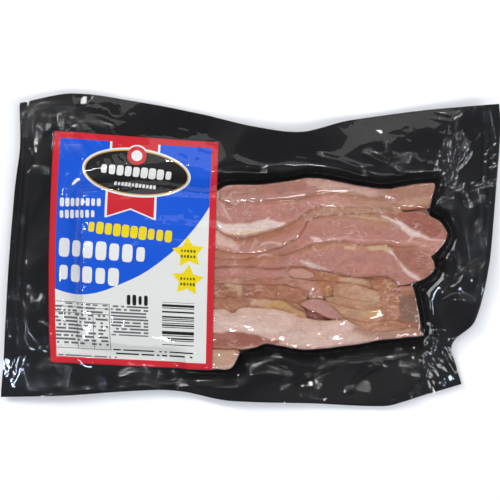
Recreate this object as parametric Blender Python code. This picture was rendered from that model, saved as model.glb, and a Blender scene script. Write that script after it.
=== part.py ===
"""A vacuum-sealed retail pack of streaky bacon, lying on its back.

The pouch has a black back film and a clear front film, sealed together all round into a thin
flange. Both films cling to a pile of rashers, so the pouch with its contents is one closed solid:
a flat underside below the pile, a flange that waves a few millimetres above the table, and a front
that steps down by one rasher at a time. A paper label lies over the left end of the pile.

Metres, +Z up. The origin is on the table, below the middle of the pouch.
"""
import math

import bmesh
import bpy
from mathutils import Vector

MM = 0.001

# The flange's outer edge, in mm: the four sides meet at the corners. The lower right corner is
# folded back, which leaves a notch at the end of the right side and a short flap below it.
CORNER_TOP_LEFT = (-145.0, 92.5)
CORNER_TOP_RIGHT = (156.0, 91.5)
CORNER_BOTTOM_LEFT = (-157.0, -92.5)
CORNER_BOTTOM_RIGHT = (133.5, -84.5)
TOP_SIDE = [(-112, 98.5), (-66, 92.5), (-28, 85), (2, 77.5), (32, 74), (62, 81.5), (110, 88)]
BOTTOM_SIDE = [(-119, -91.5), (-51, -88), (-14, -94.5), (40, -96.5), (85, -98.3), (101, -94)]
LEFT_SIDE = [(-154, -50), (-151.5, -5), (-148, 38), (-144.5, 65)]
RIGHT_SIDE = [(130, -73), (127, -59), (141, -45), (149.5, -12), (153.5, 25), (157, 76)]

# The pile of rashers inside. The tuck is how far short its lower right end stops.
PILE_CENTRE = (8.0, -12.0)
PILE_HALF = (117.0, 55.0)
PILE_CORNER = 18.0
PILE_TUCK = 17.0
PILE_PEAK = 22.5
PILE_SIDE = 15.5
PILE_RIDGE_Y = -4.0
PILE_END_DROP = 2.0
RASHER_THICKNESS = 2.4
SHINGLE_WAVE = 0.7

# The two films, sealed together outside the pile.
FLANGE_THICKNESS = 1.2
JOIN_HEIGHT = 10.0
RIM_HEIGHT = 5.2
FLANGE_FALL = 20.0
WALL_OUT = 5.0
WALL_IN = 3.0
FOOT_IN = 7.0

# The label: a paper sheet turned a little clockwise on the pack.
LABEL_SIZE = (101.0, 144.0)
LABEL_CENTRE = (-72.0, 0.0)
LABEL_TURN = math.radians(-2.6)
LABEL_CORNER = 2.5
LABEL_THICKNESS = 0.5
LABEL_GAP = 0.3

# How finely both films are divided.
COLUMNS = 50
ROWS = 38


def clear_scene():
    for obj in list(bpy.data.objects):
        bpy.data.objects.remove(obj)


def material(name, colour, roughness, metallic=0.0):
    made = bpy.data.materials.new(name)
    made.use_nodes = True
    shader = made.node_tree.nodes["Principled BSDF"]
    shader.inputs["Base Color"].default_value = (*colour, 1.0)
    shader.inputs["Roughness"].default_value = roughness
    shader.inputs["Metallic"].default_value = metallic
    return made


def smoothstep(low, high, value):
    """0 at low, 1 at high and beyond. Low may be the larger of the two."""
    t = min(1.0, max(0.0, (value - low) / (high - low)))
    return t * t * (3.0 - 2.0 * t)


def side_curve(start, between, end):
    """A smooth curve from corner to corner through the side's own points, as a function of 0..1."""
    points = [Vector(p) for p in (start, *between, end)]
    chords = [(b - a).length for a, b in zip(points, points[1:])]
    total = sum(chords)
    knots = [sum(chords[:n]) / total for n in range(len(points))]
    before = points[0] * 2 - points[1]
    after = points[-1] * 2 - points[-2]
    padded = [before, *points, after]

    def at(t):
        n = max(i for i in range(len(chords)) if knots[i] <= t + 1e-9)
        s = (t - knots[n]) / (knots[n + 1] - knots[n])
        p0, p1, p2, p3 = padded[n : n + 4]
        lean_in = (p2 - p0) * 0.5 * 0.8
        lean_out = (p3 - p1) * 0.5 * 0.8
        return (
            p1 * (2 * s**3 - 3 * s**2 + 1)
            + lean_in * (s**3 - 2 * s**2 + s)
            + p2 * (-2 * s**3 + 3 * s**2)
            + lean_out * (s**3 - s**2)
        )

    return at


def pouch_plan():
    """Where a point of the sheet lies in plan: (across 0..1, up 0..1) to (x, y) in mm."""
    top = side_curve(CORNER_TOP_LEFT, TOP_SIDE, CORNER_TOP_RIGHT)
    bottom = side_curve(CORNER_BOTTOM_LEFT, BOTTOM_SIDE, CORNER_BOTTOM_RIGHT)
    left = side_curve(CORNER_BOTTOM_LEFT, LEFT_SIDE, CORNER_TOP_LEFT)
    right = side_curve(CORNER_BOTTOM_RIGHT, RIGHT_SIDE, CORNER_TOP_RIGHT)

    def at(u, v):
        between_rails = bottom(u) * (1 - v) + top(u) * v
        between_ends = left(v) * (1 - u) + right(v) * u
        corners = (
            Vector(CORNER_BOTTOM_LEFT) * (1 - u) * (1 - v)
            + Vector(CORNER_BOTTOM_RIGHT) * u * (1 - v)
            + Vector(CORNER_TOP_LEFT) * (1 - u) * v
            + Vector(CORNER_TOP_RIGHT) * u * v
        )
        return between_rails + between_ends - corners

    return at


def outside_pile(x, y):
    """Distance from the pile's rounded outline in mm, negative inside it. The lower rashers stop
    short of the others at the right end."""
    tuck = PILE_TUCK * smoothstep(PILE_CENTRE[0], 110.0, x) * smoothstep(6.0, -26.0, y)
    dx = abs(x - PILE_CENTRE[0]) + tuck - (PILE_HALF[0] - PILE_CORNER)
    dy = abs(y - PILE_CENTRE[1]) - (PILE_HALF[1] - PILE_CORNER)
    return math.hypot(max(dx, 0), max(dy, 0)) + min(max(dx, dy), 0) - PILE_CORNER


def terraced(height):
    """The height brought to whole rashers, with a soft step from each to the next."""
    layers = height / RASHER_THICKNESS
    whole = math.floor(layers)
    return RASHER_THICKNESS * (whole + smoothstep(0.25, 0.75, layers - whole))


def pile_height(x, y):
    """The rashers lie like shingles, highest along a ridge and lower towards both long sides."""
    reach = PILE_HALF[1] + abs(PILE_CENTRE[1] - PILE_RIDGE_Y)
    across = min(1.0, abs(y - PILE_RIDGE_Y) / reach)
    along = min(1.0, abs(x - PILE_CENTRE[0]) / PILE_HALF[0])
    crown = PILE_PEAK - (PILE_PEAK - PILE_SIDE) * across**1.4 - PILE_END_DROP * along**4
    wave = SHINGLE_WAVE * (math.sin(x / 27.0 + 0.6) + 0.6 * math.sin(x / 11.0 + y / 19.0))
    return terraced(crown + wave)


def flange_middle(x, y):
    """Height of the sealed films midway through their thickness. They leave the pile's side at
    half its height and fall away to a waving rim."""
    away = max(0.0, outside_pile(x, y))
    loose = smoothstep(6.0, 34.0, away)
    waves = 1.5 * math.sin(x / 21.0 + 1.1) + 1.0 * math.sin(y / 15.0 - x / 40.0)
    lifted_middle = 4.5 * math.exp(-(((x - 32.0) / 30.0) ** 2)) * smoothstep(52.0, 78.0, y)
    lifted_corner = 3.5 * smoothstep(120.0, 158.0, x) * smoothstep(50.0, 92.0, y)
    fold_line = (x - 100.0) * 0.80 + (y + 96.0) * -0.60
    tucked_flap = 2.6 * smoothstep(-1.0, 5.0, fold_line) * smoothstep(-50.0, -62.0, y)
    rim = RIM_HEIGHT + loose * waves + lifted_middle + lifted_corner - tucked_flap
    return rim + (JOIN_HEIGHT - RIM_HEIGHT) * math.exp(-away / FLANGE_FALL)


def front_height(x, y):
    """The clear film: over the pile, down its side, and out along the flange."""
    flange = flange_middle(x, y) + FLANGE_THICKNESS / 2
    on_pile = 1.0 - smoothstep(-WALL_IN, WALL_OUT, outside_pile(x, y))
    return flange + (pile_height(x, y) - flange) * on_pile


def back_height(x, y):
    """The black film: flat on the table below the pile, up its side, and out along the flange."""
    flange = flange_middle(x, y) - FLANGE_THICKNESS / 2
    return flange * smoothstep(-FOOT_IN, WALL_OUT, outside_pile(x, y))


def sheet(mesh, height, plan, flipped):
    """A grid of triangles over the whole plan. Returns its vertices by column and row."""
    grid = []
    for i in range(COLUMNS + 1):
        places = [plan(i / COLUMNS, j / ROWS) for j in range(ROWS + 1)]
        grid.append([mesh.verts.new((p.x, p.y, height(p.x, p.y))) for p in places])
    for i in range(COLUMNS):
        for j in range(ROWS):
            near, far = grid[i][j], grid[i + 1][j + 1]
            for corners in ([near, grid[i + 1][j], far], [near, far, grid[i][j + 1]]):
                mesh.faces.new(reversed(corners) if flipped else corners)
    return grid


def rim_loop(grid):
    """The sheet's outer vertices in order, counter-clockwise seen from above."""
    bottom = [grid[i][0] for i in range(COLUMNS)]
    right = [grid[COLUMNS][j] for j in range(ROWS)]
    top = [grid[i][ROWS] for i in range(COLUMNS, 0, -1)]
    left = [grid[0][j] for j in range(ROWS, 0, -1)]
    return bottom + right + top + left


def join_rims(mesh, upper, lower):
    """The narrow cut edge of the flange."""
    for n in range(len(upper)):
        m = (n + 1) % len(upper)
        mesh.faces.new([lower[n], lower[m], upper[m], upper[n]])


def flatten_underside(mesh):
    """Joins the faces that lie on the table into one flat face."""
    flat = [f for f in mesh.faces if all(v.co.z < 1e-6 for v in f.verts)]
    bmesh.ops.dissolve_faces(mesh, faces=flat, use_verts=True)


def centre_in_plan(mesh):
    """Moves the mesh so that its box is centred on the origin, and returns the move."""
    xs = [v.co.x for v in mesh.verts]
    ys = [v.co.y for v in mesh.verts]
    move = Vector((-(min(xs) + max(xs)) / 2, -(min(ys) + max(ys)) / 2, 0))
    bmesh.ops.translate(mesh, verts=mesh.verts, vec=move)
    return move


def as_object(name, mesh, finish):
    """Turns a mesh in mm into a named object in metres."""
    bmesh.ops.scale(mesh, verts=mesh.verts, vec=(MM, MM, MM))
    data = bpy.data.meshes.new(name)
    mesh.to_mesh(data)
    mesh.free()
    data.materials.append(finish)
    data.shade_smooth()
    data.set_sharp_from_angle(angle=math.radians(50))
    obj = bpy.data.objects.new(name, data)
    bpy.context.scene.collection.objects.link(obj)


def make_pouch(plan):
    """The sealed pouch with its contents. Returns the move that centres it on the origin."""
    mesh = bmesh.new()
    front = sheet(mesh, front_height, plan, flipped=False)
    back = sheet(mesh, back_height, plan, flipped=True)
    join_rims(mesh, rim_loop(front), rim_loop(back))
    flatten_underside(mesh)
    move = centre_in_plan(mesh)
    film = material("black_film", (0.018, 0.018, 0.020), 0.22)
    as_object("pouch", mesh, film)
    return move


def label_outline():
    """The label's rounded rectangle, turned and placed, in mm."""
    half_w, half_h = LABEL_SIZE[0] / 2, LABEL_SIZE[1] / 2
    steps = 4
    outline = []
    for corner, (sx, sy) in enumerate([(1, 1), (-1, 1), (-1, -1), (1, -1)]):
        centre = Vector((sx * (half_w - LABEL_CORNER), sy * (half_h - LABEL_CORNER)))
        for n in range(steps + 1):
            angle = math.radians(90 * corner + 90 * n / steps)
            outline.append(centre + LABEL_CORNER * Vector((math.cos(angle), math.sin(angle))))
    cos_t, sin_t = math.cos(LABEL_TURN), math.sin(LABEL_TURN)
    return [
        Vector((p.x * cos_t - p.y * sin_t, p.x * sin_t + p.y * cos_t)) + Vector(LABEL_CENTRE)
        for p in outline
    ]


def cut_to_outline(mesh, outline):
    """Keeps what lies inside a convex outline, given counter-clockwise."""
    for start, end in zip(outline, outline[1:] + outline[:1]):
        along = end - start
        bmesh.ops.bisect_plane(
            mesh,
            geom=mesh.verts[:] + mesh.edges[:] + mesh.faces[:],
            plane_co=(start.x, start.y, 0),
            plane_no=(along.y, -along.x, 0),
            clear_outer=True,
        )


def make_label(plan, move):
    """A paper sheet that follows the pouch's front at a small gap."""
    mesh = bmesh.new()

    def underside(x, y):
        return front_height(x, y) + LABEL_GAP

    sheet(mesh, underside, plan, flipped=True)
    cut_to_outline(mesh, label_outline())
    made = bmesh.ops.extrude_face_region(mesh, geom=mesh.faces[:])
    raised = [v for v in made["geom"] if isinstance(v, bmesh.types.BMVert)]
    bmesh.ops.translate(mesh, verts=raised, vec=(0, 0, LABEL_THICKNESS))
    bmesh.ops.recalc_face_normals(mesh, faces=mesh.faces)
    bmesh.ops.translate(mesh, verts=mesh.verts, vec=move)
    as_object("label", mesh, material("label_paper", (0.70, 0.70, 0.68), 0.4))


def main():
    clear_scene()
    plan = pouch_plan()
    move = make_pouch(plan)
    make_label(plan, move)


main()
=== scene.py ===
"""How the vacuum pack of bacon looks: a black back film, shingled rashers, a printed label and a
clear front film drawn down over them.

Shapes are worked out in mm in the pack's own plan (X along it, Y across it, Z up) and turned to
metres when a mesh is made.
"""
import math

import bpy
import numpy as np
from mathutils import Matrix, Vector


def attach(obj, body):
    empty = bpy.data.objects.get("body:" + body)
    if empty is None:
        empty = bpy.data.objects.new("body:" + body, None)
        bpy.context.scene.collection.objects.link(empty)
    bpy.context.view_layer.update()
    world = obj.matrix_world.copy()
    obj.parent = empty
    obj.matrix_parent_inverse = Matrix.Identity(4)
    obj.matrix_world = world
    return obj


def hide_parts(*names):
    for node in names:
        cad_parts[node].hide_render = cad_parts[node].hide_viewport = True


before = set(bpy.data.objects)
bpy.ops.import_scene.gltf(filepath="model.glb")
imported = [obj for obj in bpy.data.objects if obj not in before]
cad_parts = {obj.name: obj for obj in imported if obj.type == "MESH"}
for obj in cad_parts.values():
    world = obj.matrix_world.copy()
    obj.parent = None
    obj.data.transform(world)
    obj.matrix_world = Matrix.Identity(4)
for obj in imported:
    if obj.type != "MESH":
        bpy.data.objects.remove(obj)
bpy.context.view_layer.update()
MM = 0.001


# ---------------------------------------------------------------- small maths


def smooth(low, high, value):
    t = np.clip((value - low) / (high - low), 0.0, 1.0)
    return t * t * (3.0 - 2.0 * t)


def curve(points, fractions):
    """A smooth curve through plan points, at fractions of its length."""
    pts = np.array(points, float)
    padded = np.vstack([2 * pts[0] - pts[1], pts, 2 * pts[-1] - pts[-2]])
    fine = []
    s = np.linspace(0.0, 1.0, 24, endpoint=False)[:, None]
    for n in range(len(pts) - 1):
        p0, p1, p2, p3 = padded[n : n + 4]
        chord = np.linalg.norm(p2 - p1)
        leave = (p2 - p0) / max(np.linalg.norm(p2 - p0), 1e-6) * chord * 0.9
        arrive = (p3 - p1) / max(np.linalg.norm(p3 - p1), 1e-6) * chord * 0.9
        fine.append(
            p1 * (2 * s**3 - 3 * s**2 + 1)
            + leave * (s**3 - 2 * s**2 + s)
            + p2 * (-2 * s**3 + 3 * s**2)
            + arrive * (s**3 - s**2)
        )
    fine = np.vstack(fine + [pts[-1:]])
    run = np.concatenate([[0.0], np.cumsum(np.linalg.norm(np.diff(fine, axis=0), axis=1))])
    run /= run[-1]
    f = np.asarray(fractions, float)
    return np.stack([np.interp(f, run, fine[:, 0]), np.interp(f, run, fine[:, 1])], axis=1)


def lattice(ix, iy, seed):
    """A repeatable random value between 0 and 1 for each whole-numbered place."""
    h = ix.astype(np.int64) * 374761393 + iy.astype(np.int64) * 668265263 + seed * 144269504
    h = h & 0xFFFFFFFF
    h = ((h ^ (h >> 13)) * 1274126177) & 0xFFFFFFFF
    return ((h ^ (h >> 16)) & 0xFFFF) / 65535.0


def cell_corners(px, py, seed):
    """Place within its cell, and the random values at the cell's four corners."""
    ix, iy = np.floor(px), np.floor(py)
    corners = [lattice(ix + i, iy + j, seed) for i, j in ((0, 0), (1, 0), (0, 1), (1, 1))]
    return px - ix, py - iy, *corners


def noise(x, y, size, seed=0, octaves=1):
    """Smooth noise between -1 and 1 whose largest lumps are size mm across."""
    total = np.zeros(np.broadcast(x, y).shape)
    weight, reach = 1.0, 0.0
    for n in range(octaves):
        px = x / size * 2**n + 17.3 * n
        py = y / size * 2**n - 9.1 * n
        fx, fy, v00, v10, v01, v11 = cell_corners(px, py, seed + n)
        fx = fx * fx * (3 - 2 * fx)
        fy = fy * fy * (3 - 2 * fy)
        low = v00 * (1 - fx) + v10 * fx
        high = v01 * (1 - fx) + v11 * fx
        total += weight * (low * (1 - fy) + high * fy)
        reach += weight
        weight *= 0.5
    return total / reach * 2.0 - 1.0


def facets(x, y, size, seed):
    """Random heights between -1 and 1 joined by flat triangles, as in crumpled film."""
    px = (0.86 * x + 0.5 * y) / size
    py = (0.86 * y - 0.5 * x) / size * 1.25
    fx, fy, v00, v10, v01, v11 = cell_corners(px, py, seed)
    below = v00 + fx * (v10 - v00) + fy * (v11 - v10)
    above = v00 + fy * (v01 - v00) + fx * (v11 - v01)
    return np.where(fx > fy, below, above) * 2.0 - 1.0


def near(x, y, points, fractions=48):
    """Distance in mm from a smooth curve, and how far along it (0..1) the nearest point is."""
    line = curve(points, np.linspace(0, 1, fractions))
    best = np.full(x.shape, 1e9)
    along = np.zeros(x.shape)
    for n in range(len(line) - 1):
        ax, ay = line[n]
        dx, dy = line[n + 1] - line[n]
        t = np.clip(((x - ax) * dx + (y - ay) * dy) / (dx * dx + dy * dy + 1e-9), 0, 1)
        d = np.hypot(x - ax - t * dx, y - ay - t * dy)
        closer = d < best
        best = np.where(closer, d, best)
        along = np.where(closer, (n + t) / (len(line) - 1), along)
    return best, along


def colour(r, g, b):
    """Linear colour from the usual 0..255 values."""
    c = np.array([r, g, b]) / 255.0
    return np.where(c <= 0.04045, c / 12.92, ((c + 0.055) / 1.055) ** 2.4)


# ---------------------------------------------------------------- the pouch in plan

CORNER_TOP_LEFT = (-145.0, 92.5)
CORNER_TOP_RIGHT = (156.0, 91.5)
CORNER_BOTTOM_LEFT = (-157.0, -92.5)
CORNER_BOTTOM_RIGHT = (133.5, -84.5)
TOP_SIDE = [(-112, 98.5), (-66, 92.5), (-28, 85), (2, 77.5), (32, 74), (62, 81.5), (110, 88)]
BOTTOM_SIDE = [(-119, -91.5), (-51, -88), (-14, -94.5), (40, -96.5), (85, -98.3), (101, -94)]
LEFT_SIDE = [(-154, -50), (-151.5, -5), (-148, 38), (-144.5, 65)]
RIGHT_SIDE = [(130, -73), (127, -59), (141, -45), (149.5, -12), (153.5, 25), (157, 76)]

PILE_CENTRE = (8.0, -12.0)
PILE_HALF = (117.0, 55.0)
PILE_CORNER = 18.0
PILE_TUCK = 17.0
PILE_PEAK = 22.0
PILE_SIDE = 14.5
PILE_RIDGE_Y = -4.0
PILE_END_DROP = 2.5
JOIN_HEIGHT = 10.0
RIM_HEIGHT = 5.2
FLANGE_FALL = 20.0
WALL_OUT = 11.0
FOOT_IN = 3.0


def pouch_plan(columns, rows):
    """Plan points of a sheet with columns by rows faces, as two arrays."""
    u = np.linspace(0, 1, columns + 1)
    v = np.linspace(0, 1, rows + 1)
    top = curve([CORNER_TOP_LEFT, *TOP_SIDE, CORNER_TOP_RIGHT], u)
    bottom = curve([CORNER_BOTTOM_LEFT, *BOTTOM_SIDE, CORNER_BOTTOM_RIGHT], u)
    left = curve([CORNER_BOTTOM_LEFT, *LEFT_SIDE, CORNER_TOP_LEFT], v)
    right = curve([CORNER_BOTTOM_RIGHT, *RIGHT_SIDE, CORNER_TOP_RIGHT], v)
    uu, vv = u[:, None, None], v[None, :, None]
    sheet = bottom[:, None] * (1 - vv) + top[:, None] * vv
    sheet = sheet + left[None] * (1 - uu) + right[None] * uu
    sheet = sheet - np.array(CORNER_BOTTOM_LEFT) * (1 - uu) * (1 - vv)
    sheet = sheet - np.array(CORNER_BOTTOM_RIGHT) * uu * (1 - vv)
    sheet = sheet - np.array(CORNER_TOP_LEFT) * (1 - uu) * vv
    sheet = sheet - np.array(CORNER_TOP_RIGHT) * uu * vv
    return sheet[..., 0], sheet[..., 1]


def outside_pile(x, y):
    tuck = PILE_TUCK * smooth(PILE_CENTRE[0], 110.0, x) * (1 - smooth(-26.0, 6.0, y))
    dx = np.abs(x - PILE_CENTRE[0]) + tuck - (PILE_HALF[0] - PILE_CORNER)
    dy = np.abs(y - PILE_CENTRE[1]) - (PILE_HALF[1] - PILE_CORNER)
    outer = np.hypot(np.maximum(dx, 0), np.maximum(dy, 0))
    return outer + np.minimum(np.maximum(dx, dy), 0) - PILE_CORNER


def crown(x, y):
    """The pile's overall height, before single rashers step it."""
    reach = PILE_HALF[1] + abs(PILE_CENTRE[1] - PILE_RIDGE_Y)
    across = np.minimum(1.0, np.abs(y - PILE_RIDGE_Y) / reach)
    along = np.minimum(1.0, np.abs(x - PILE_CENTRE[0]) / PILE_HALF[0])
    return PILE_PEAK - (PILE_PEAK - PILE_SIDE) * across**1.6 - PILE_END_DROP * along**4


def flange_middle(x, y):
    away = np.maximum(0.0, outside_pile(x, y))
    loose = smooth(6.0, 34.0, away)
    waves = 1.5 * np.sin(x / 21.0 + 1.1) + 1.0 * np.sin(y / 15.0 - x / 40.0)
    lifted_middle = 4.5 * np.exp(-(((x - 32.0) / 30.0) ** 2)) * smooth(52.0, 78.0, y)
    lifted_corner = 3.5 * smooth(120.0, 158.0, x) * smooth(50.0, 92.0, y)
    fold_line = (x - 100.0) * 0.80 + (y + 96.0) * -0.60
    tucked_flap = 2.6 * smooth(-1.0, 5.0, fold_line) * (1 - smooth(-62.0, -50.0, y))
    rim = RIM_HEIGHT + loose * waves + lifted_middle + lifted_corner - tucked_flap
    return rim + (JOIN_HEIGHT - RIM_HEIGHT) * np.exp(-away / FLANGE_FALL)


# ---------------------------------------------------------------- rashers

PINK = colour(175, 122, 111)
PALE_PINK = colour(188, 140, 126)
FAT = colour(216, 194, 186)
TAN = colour(176, 132, 100)
PALE_TAN = colour(188, 152, 118)
ORANGE = colour(160, 106, 78)
BROWN = colour(150, 98, 78)
DARK = colour(104, 60, 48)
RED = colour(148, 92, 79)
CREAM = colour(202, 174, 140)
GREY_TAN = colour(138, 104, 88)
FILM_TAN = colour(164, 122, 98)
# Dark brown at the foot of each rasher's side walls: painted shade, so the walls darken towards the bottom.
WALL_FOOT_SHADE = np.array([0.20, 0.09, 0.06])
SEAM_SHADE = np.array([0.48, 0.32, 0.22])
WARM_CAST = np.array([0.985, 0.955, 0.925])

LEFT_END = -106.0
HIDDEN = np.linspace(0, 0.27, 36, endpoint=False)
SHOWN = np.linspace(0.27, 1.0, 300)
WHOLE = np.concatenate([HIDDEN, SHOWN])
EDGE_DROP = 2.0
STEP = 0.5
LOWEST_FACE = 3.2
VIEW_HEIGHT = 748.0
# Three kinds of seam below a rasher's upper edge.
DEEP, STRONG, FAINT = "deep", "strong", "faint"


class Rasher:
    """A slab between an upper and a lower edge. Its face slopes down from the upper edge, and the
    next rasher covers its lower part."""

    def __init__(
        self, name, upper, lower, tone, paint,
        lift=1.3, slope=0.2, along=WHOLE, across=44, rim=0.9, seam=STRONG,
    ):
        up = curve(upper, along)
        low = curve(lower, along)
        width = np.linalg.norm(up - low, axis=1).max()
        s = np.linspace(0.0, 1.0, across)
        s = s - 0.06 * np.sin(2 * np.pi * s)
        self.name = name
        self.x = low[:, None, 0] * (1 - s) + up[:, None, 0] * s
        self.y = low[:, None, 1] * (1 - s) + up[:, None, 1] * s
        reach = np.linalg.norm(up - low, axis=1)[:, None]
        self.from_upper = reach * (1 - s)[None]
        self.from_lower = reach * s[None]
        run = np.concatenate([[0], np.cumsum(np.linalg.norm(np.diff(up, axis=0), axis=1))])
        from_end = (run[-1] - run)[:, None] + 0 * self.x
        edge = np.minimum(np.minimum(self.from_upper, self.from_lower), from_end)
        lump = noise(self.x, self.y, 16, seed=7, octaves=2) * 0.5
        grain = noise(self.x / 2.2, self.y, 1.6, seed=7, octaves=2) * 0.07
        fall = STEP * (lift - slope * np.minimum(self.from_upper, width))
        self.z = crown(self.x, self.y) + fall + lump + grain
        short = np.clip(edge / rim, 0, 1)
        self.z = self.z - rim * (1 - np.sqrt(1 - (1 - short) ** 2))
        self.z = np.maximum(self.z, LOWEST_FACE)
        # Outlines are given as they look from straight above, so they are drawn in by their height.
        closer = 1 - self.z / VIEW_HEIGHT
        self.plan_x = (self.x + 0.5 * noise(self.x, self.y, 5, seed=14, octaves=2)) * closer
        self.plan_y = (self.y + 0.4 * noise(self.x, self.y, 5, seed=15, octaves=2)) * closer
        self.tone, self.paint, self.seam = tone, paint, seam

    def mesh_data(self):
        nt, ns = self.x.shape
        top = np.stack([self.plan_x, self.plan_y, self.z], axis=2)
        low = top[:, [0, -1]] - np.array([0, 0, EDGE_DROP])
        top = top.reshape(-1, 3)
        verts = np.vstack([top, low.reshape(-1, 3)])
        faces = grid_faces(nt, ns)
        base = nt * ns
        for i in range(nt - 1):
            a, b = base + 2 * i, base + 2 * i + 1
            c, d = base + 2 * i + 2, base + 2 * i + 3
            faces.append((a, b, d, c))
            faces.append((i * ns, a, c, (i + 1) * ns))
            faces.append((b, i * ns + ns - 1, (i + 1) * ns + ns - 1, d))
        faces.append(tuple([base + 1, base] + list(range(ns))))
        last = (nt - 1) * ns
        end = [base + 2 * nt - 2, base + 2 * nt - 1]
        faces.append(tuple(end + list(range(last + ns - 1, last - 1, -1))))
        return verts, faces

    def wobbled(self):
        wx = self.x + 1.2 * noise(self.x, self.y, 7, seed=3, octaves=3)
        wy = self.y + 0.9 * noise(self.x, self.y, 6, seed=5, octaves=3)
        return wx, wy

    def band(self, points, widths, soft):
        d, t = near(*self.wobbled(), points)
        half = np.interp(t, np.linspace(0, 1, len(widths)), widths)
        return 1 - smooth(half - soft, half + soft, d)

    def line(self, points, half):
        d, t = near(self.x, self.y + 0.35 * noise(self.x, self.y, 5, seed=9, octaves=2), points)
        return np.exp(-((d / half) ** 2)) * smooth(0, 0.08, t) * (1 - smooth(0.92, 1, t))

    def blob(self, cx, cy, rx, ry, turn, soft):
        wx, wy = self.wobbled()
        c, s = math.cos(math.radians(turn)), math.sin(math.radians(turn))
        px, py = wx - cx, wy - cy
        r = np.hypot((px * c + py * s) / rx, (-px * s + py * c) / ry)
        return 1 - smooth(1 - soft, 1 + soft, r)

    def rim(self, width):
        width = width * (1 + 0.5 * noise(self.x, self.y, 9, seed=11, octaves=2))
        return 1 - smooth(0.35, 1.0, self.from_upper / width)

    def low_rim(self, width):
        width = width * (1 + 0.5 * noise(self.x, self.y, 9, seed=13, octaves=2))
        return 1 - smooth(0.35, 1.0, self.from_lower / width)

    def mottle(self, size, stretch, bias):
        n = noise(self.x / stretch, self.y, size, seed=len(self.name) + 21, octaves=3)
        return smooth(bias, bias + 0.35, n)

    def veins(self, size, sharp):
        n = noise(self.x / 1.6, self.y, size, seed=len(self.name) + 31, octaves=3)
        gate = smooth(-0.1, 0.5, noise(self.x, self.y, 13, seed=len(self.name) + 41))
        return np.exp(-((n / (sharp * 1.8)) ** 2)) * gate

    def hatch(self, size, angle):
        c, s = math.cos(math.radians(angle)), math.sin(math.radians(angle))
        n = noise((self.x * c + self.y * s) / 5, -self.x * s + self.y * c, size, seed=51, octaves=2)
        return smooth(0.1, 0.6, n)

    def painted(self):
        """The marbling and browning, and a few painted highlights, laid over the rasher's own tone, blotched
        like cured meat.
        """
        tone = np.broadcast_to(self.tone, self.x.shape + (3,)).copy()
        for kind, tint, strength, *shape in self.paint:
            mask = (np.clip(getattr(self, kind)(*shape), 0, 1) * strength)[..., None]
            tone = tone * (1 - mask) + tint * mask
        blotch = 1 + 0.10 * noise(self.x / 1.8, self.y, 6, seed=61, octaves=3)
        blotch = blotch + 0.07 * noise(self.x / 2.5, self.y, 1.7, seed=66, octaves=2)
        blotch = blotch + 0.05 * noise(self.x, self.y, 1.3, seed=67)
        warm = 0.07 * noise(self.x / 2.2, self.y, 4, seed=62, octaves=3)
        return tone * blotch[..., None] * (1 + warm[..., None] * np.array([0.3, 0.0, -0.8]))

    def painted_seam_shade(self, deep_gap, strong_gap, faint_gap):
        """How much painted shade darkens the face beside the seams, 0 to 0.95: the shade of the rashers'
        steps, with juices gathered there.
        """
        broken = np.clip(0.5 + 0.8 * noise(self.x, self.y, 6, seed=64, octaves=3), 0.05, 1.0)
        own = 0.35 + 0.65 * smooth(0.0, 0.7, self.from_upper)
        strong = 0.75 * np.exp(-((strong_gap / 0.6) ** 2)) * broken * own
        faint = 0.6 * np.exp(-((faint_gap / 0.5) ** 2)) * broken
        deep = np.exp(-((deep_gap / 0.8) ** 2)) * (0.4 + 0.6 * broken)
        return np.clip(np.maximum.reduce([strong, faint, deep]), 0, 0.95)[..., None]

    def seam_browning_shade(self, deep_gap, strong_gap, faint_gap):
        """How strongly the face browns towards the seams: partly the rashers' own browned edges, partly
        painted shade.
        """
        gap = np.minimum(np.minimum(strong_gap, deep_gap), faint_gap + 0.8)
        seam_browning_shade = 0.42 * np.exp(-((gap / 2.0) ** 2))
        return (seam_browning_shade * (0.6 + 0.6 * noise(self.x, self.y, 8, seed=65, octaves=2)))[..., None]

    def seam_glint(self, strong_gap):
        """Pale spots along the strong seams in the fat's colour: painted highlights."""
        seam_glint = smooth(0.35, 0.6, noise(self.x, self.y, 1.5, seed=68))
        seam_glint = seam_glint * np.exp(-((strong_gap / 0.9) ** 2))
        return (0.5 * seam_glint * smooth(-0.1, 0.4, noise(self.x, self.y, 18, seed=69)))[..., None]

    def colours(self, deep_gap, strong_gap, faint_gap):
        """A colour for each vertex, given its distances from the three kinds of seam."""
        # Browning towards the seams, partly painted shade.
        seam_browning_shade = self.seam_browning_shade(deep_gap, strong_gap, faint_gap)
        tone = (self.painted() * (1 - seam_browning_shade) + ORANGE * seam_browning_shade) * WARM_CAST
        # Painted shade darkens the face along the seams.
        shade = self.painted_seam_shade(deep_gap, strong_gap, faint_gap)
        tone = tone * (1 - shade) + tone * SEAM_SHADE * shade
        # Painted highlights along the strong seams.
        seam_glint = self.seam_glint(strong_gap)
        tone = tone * (1 - seam_glint) + FAT * seam_glint
        # The side walls' lower vertices take painted shade.
        low = np.broadcast_to(WALL_FOOT_SHADE, (self.x.shape[0] * 2, 3))
        return np.vstack([tone.reshape(-1, 3), low])


def grid_faces(nt, ns):
    """Faces of an nt by ns grid of vertices, seen from above."""
    i, j = np.meshgrid(np.arange(nt - 1), np.arange(ns - 1), indexing="ij")
    a = i * ns + j
    return [tuple(f) for f in np.stack([a, a + ns, a + ns + 1, a + 1], axis=2).reshape(-1, 4).tolist()]


FINE = np.linspace(0, 1, 150)

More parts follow.
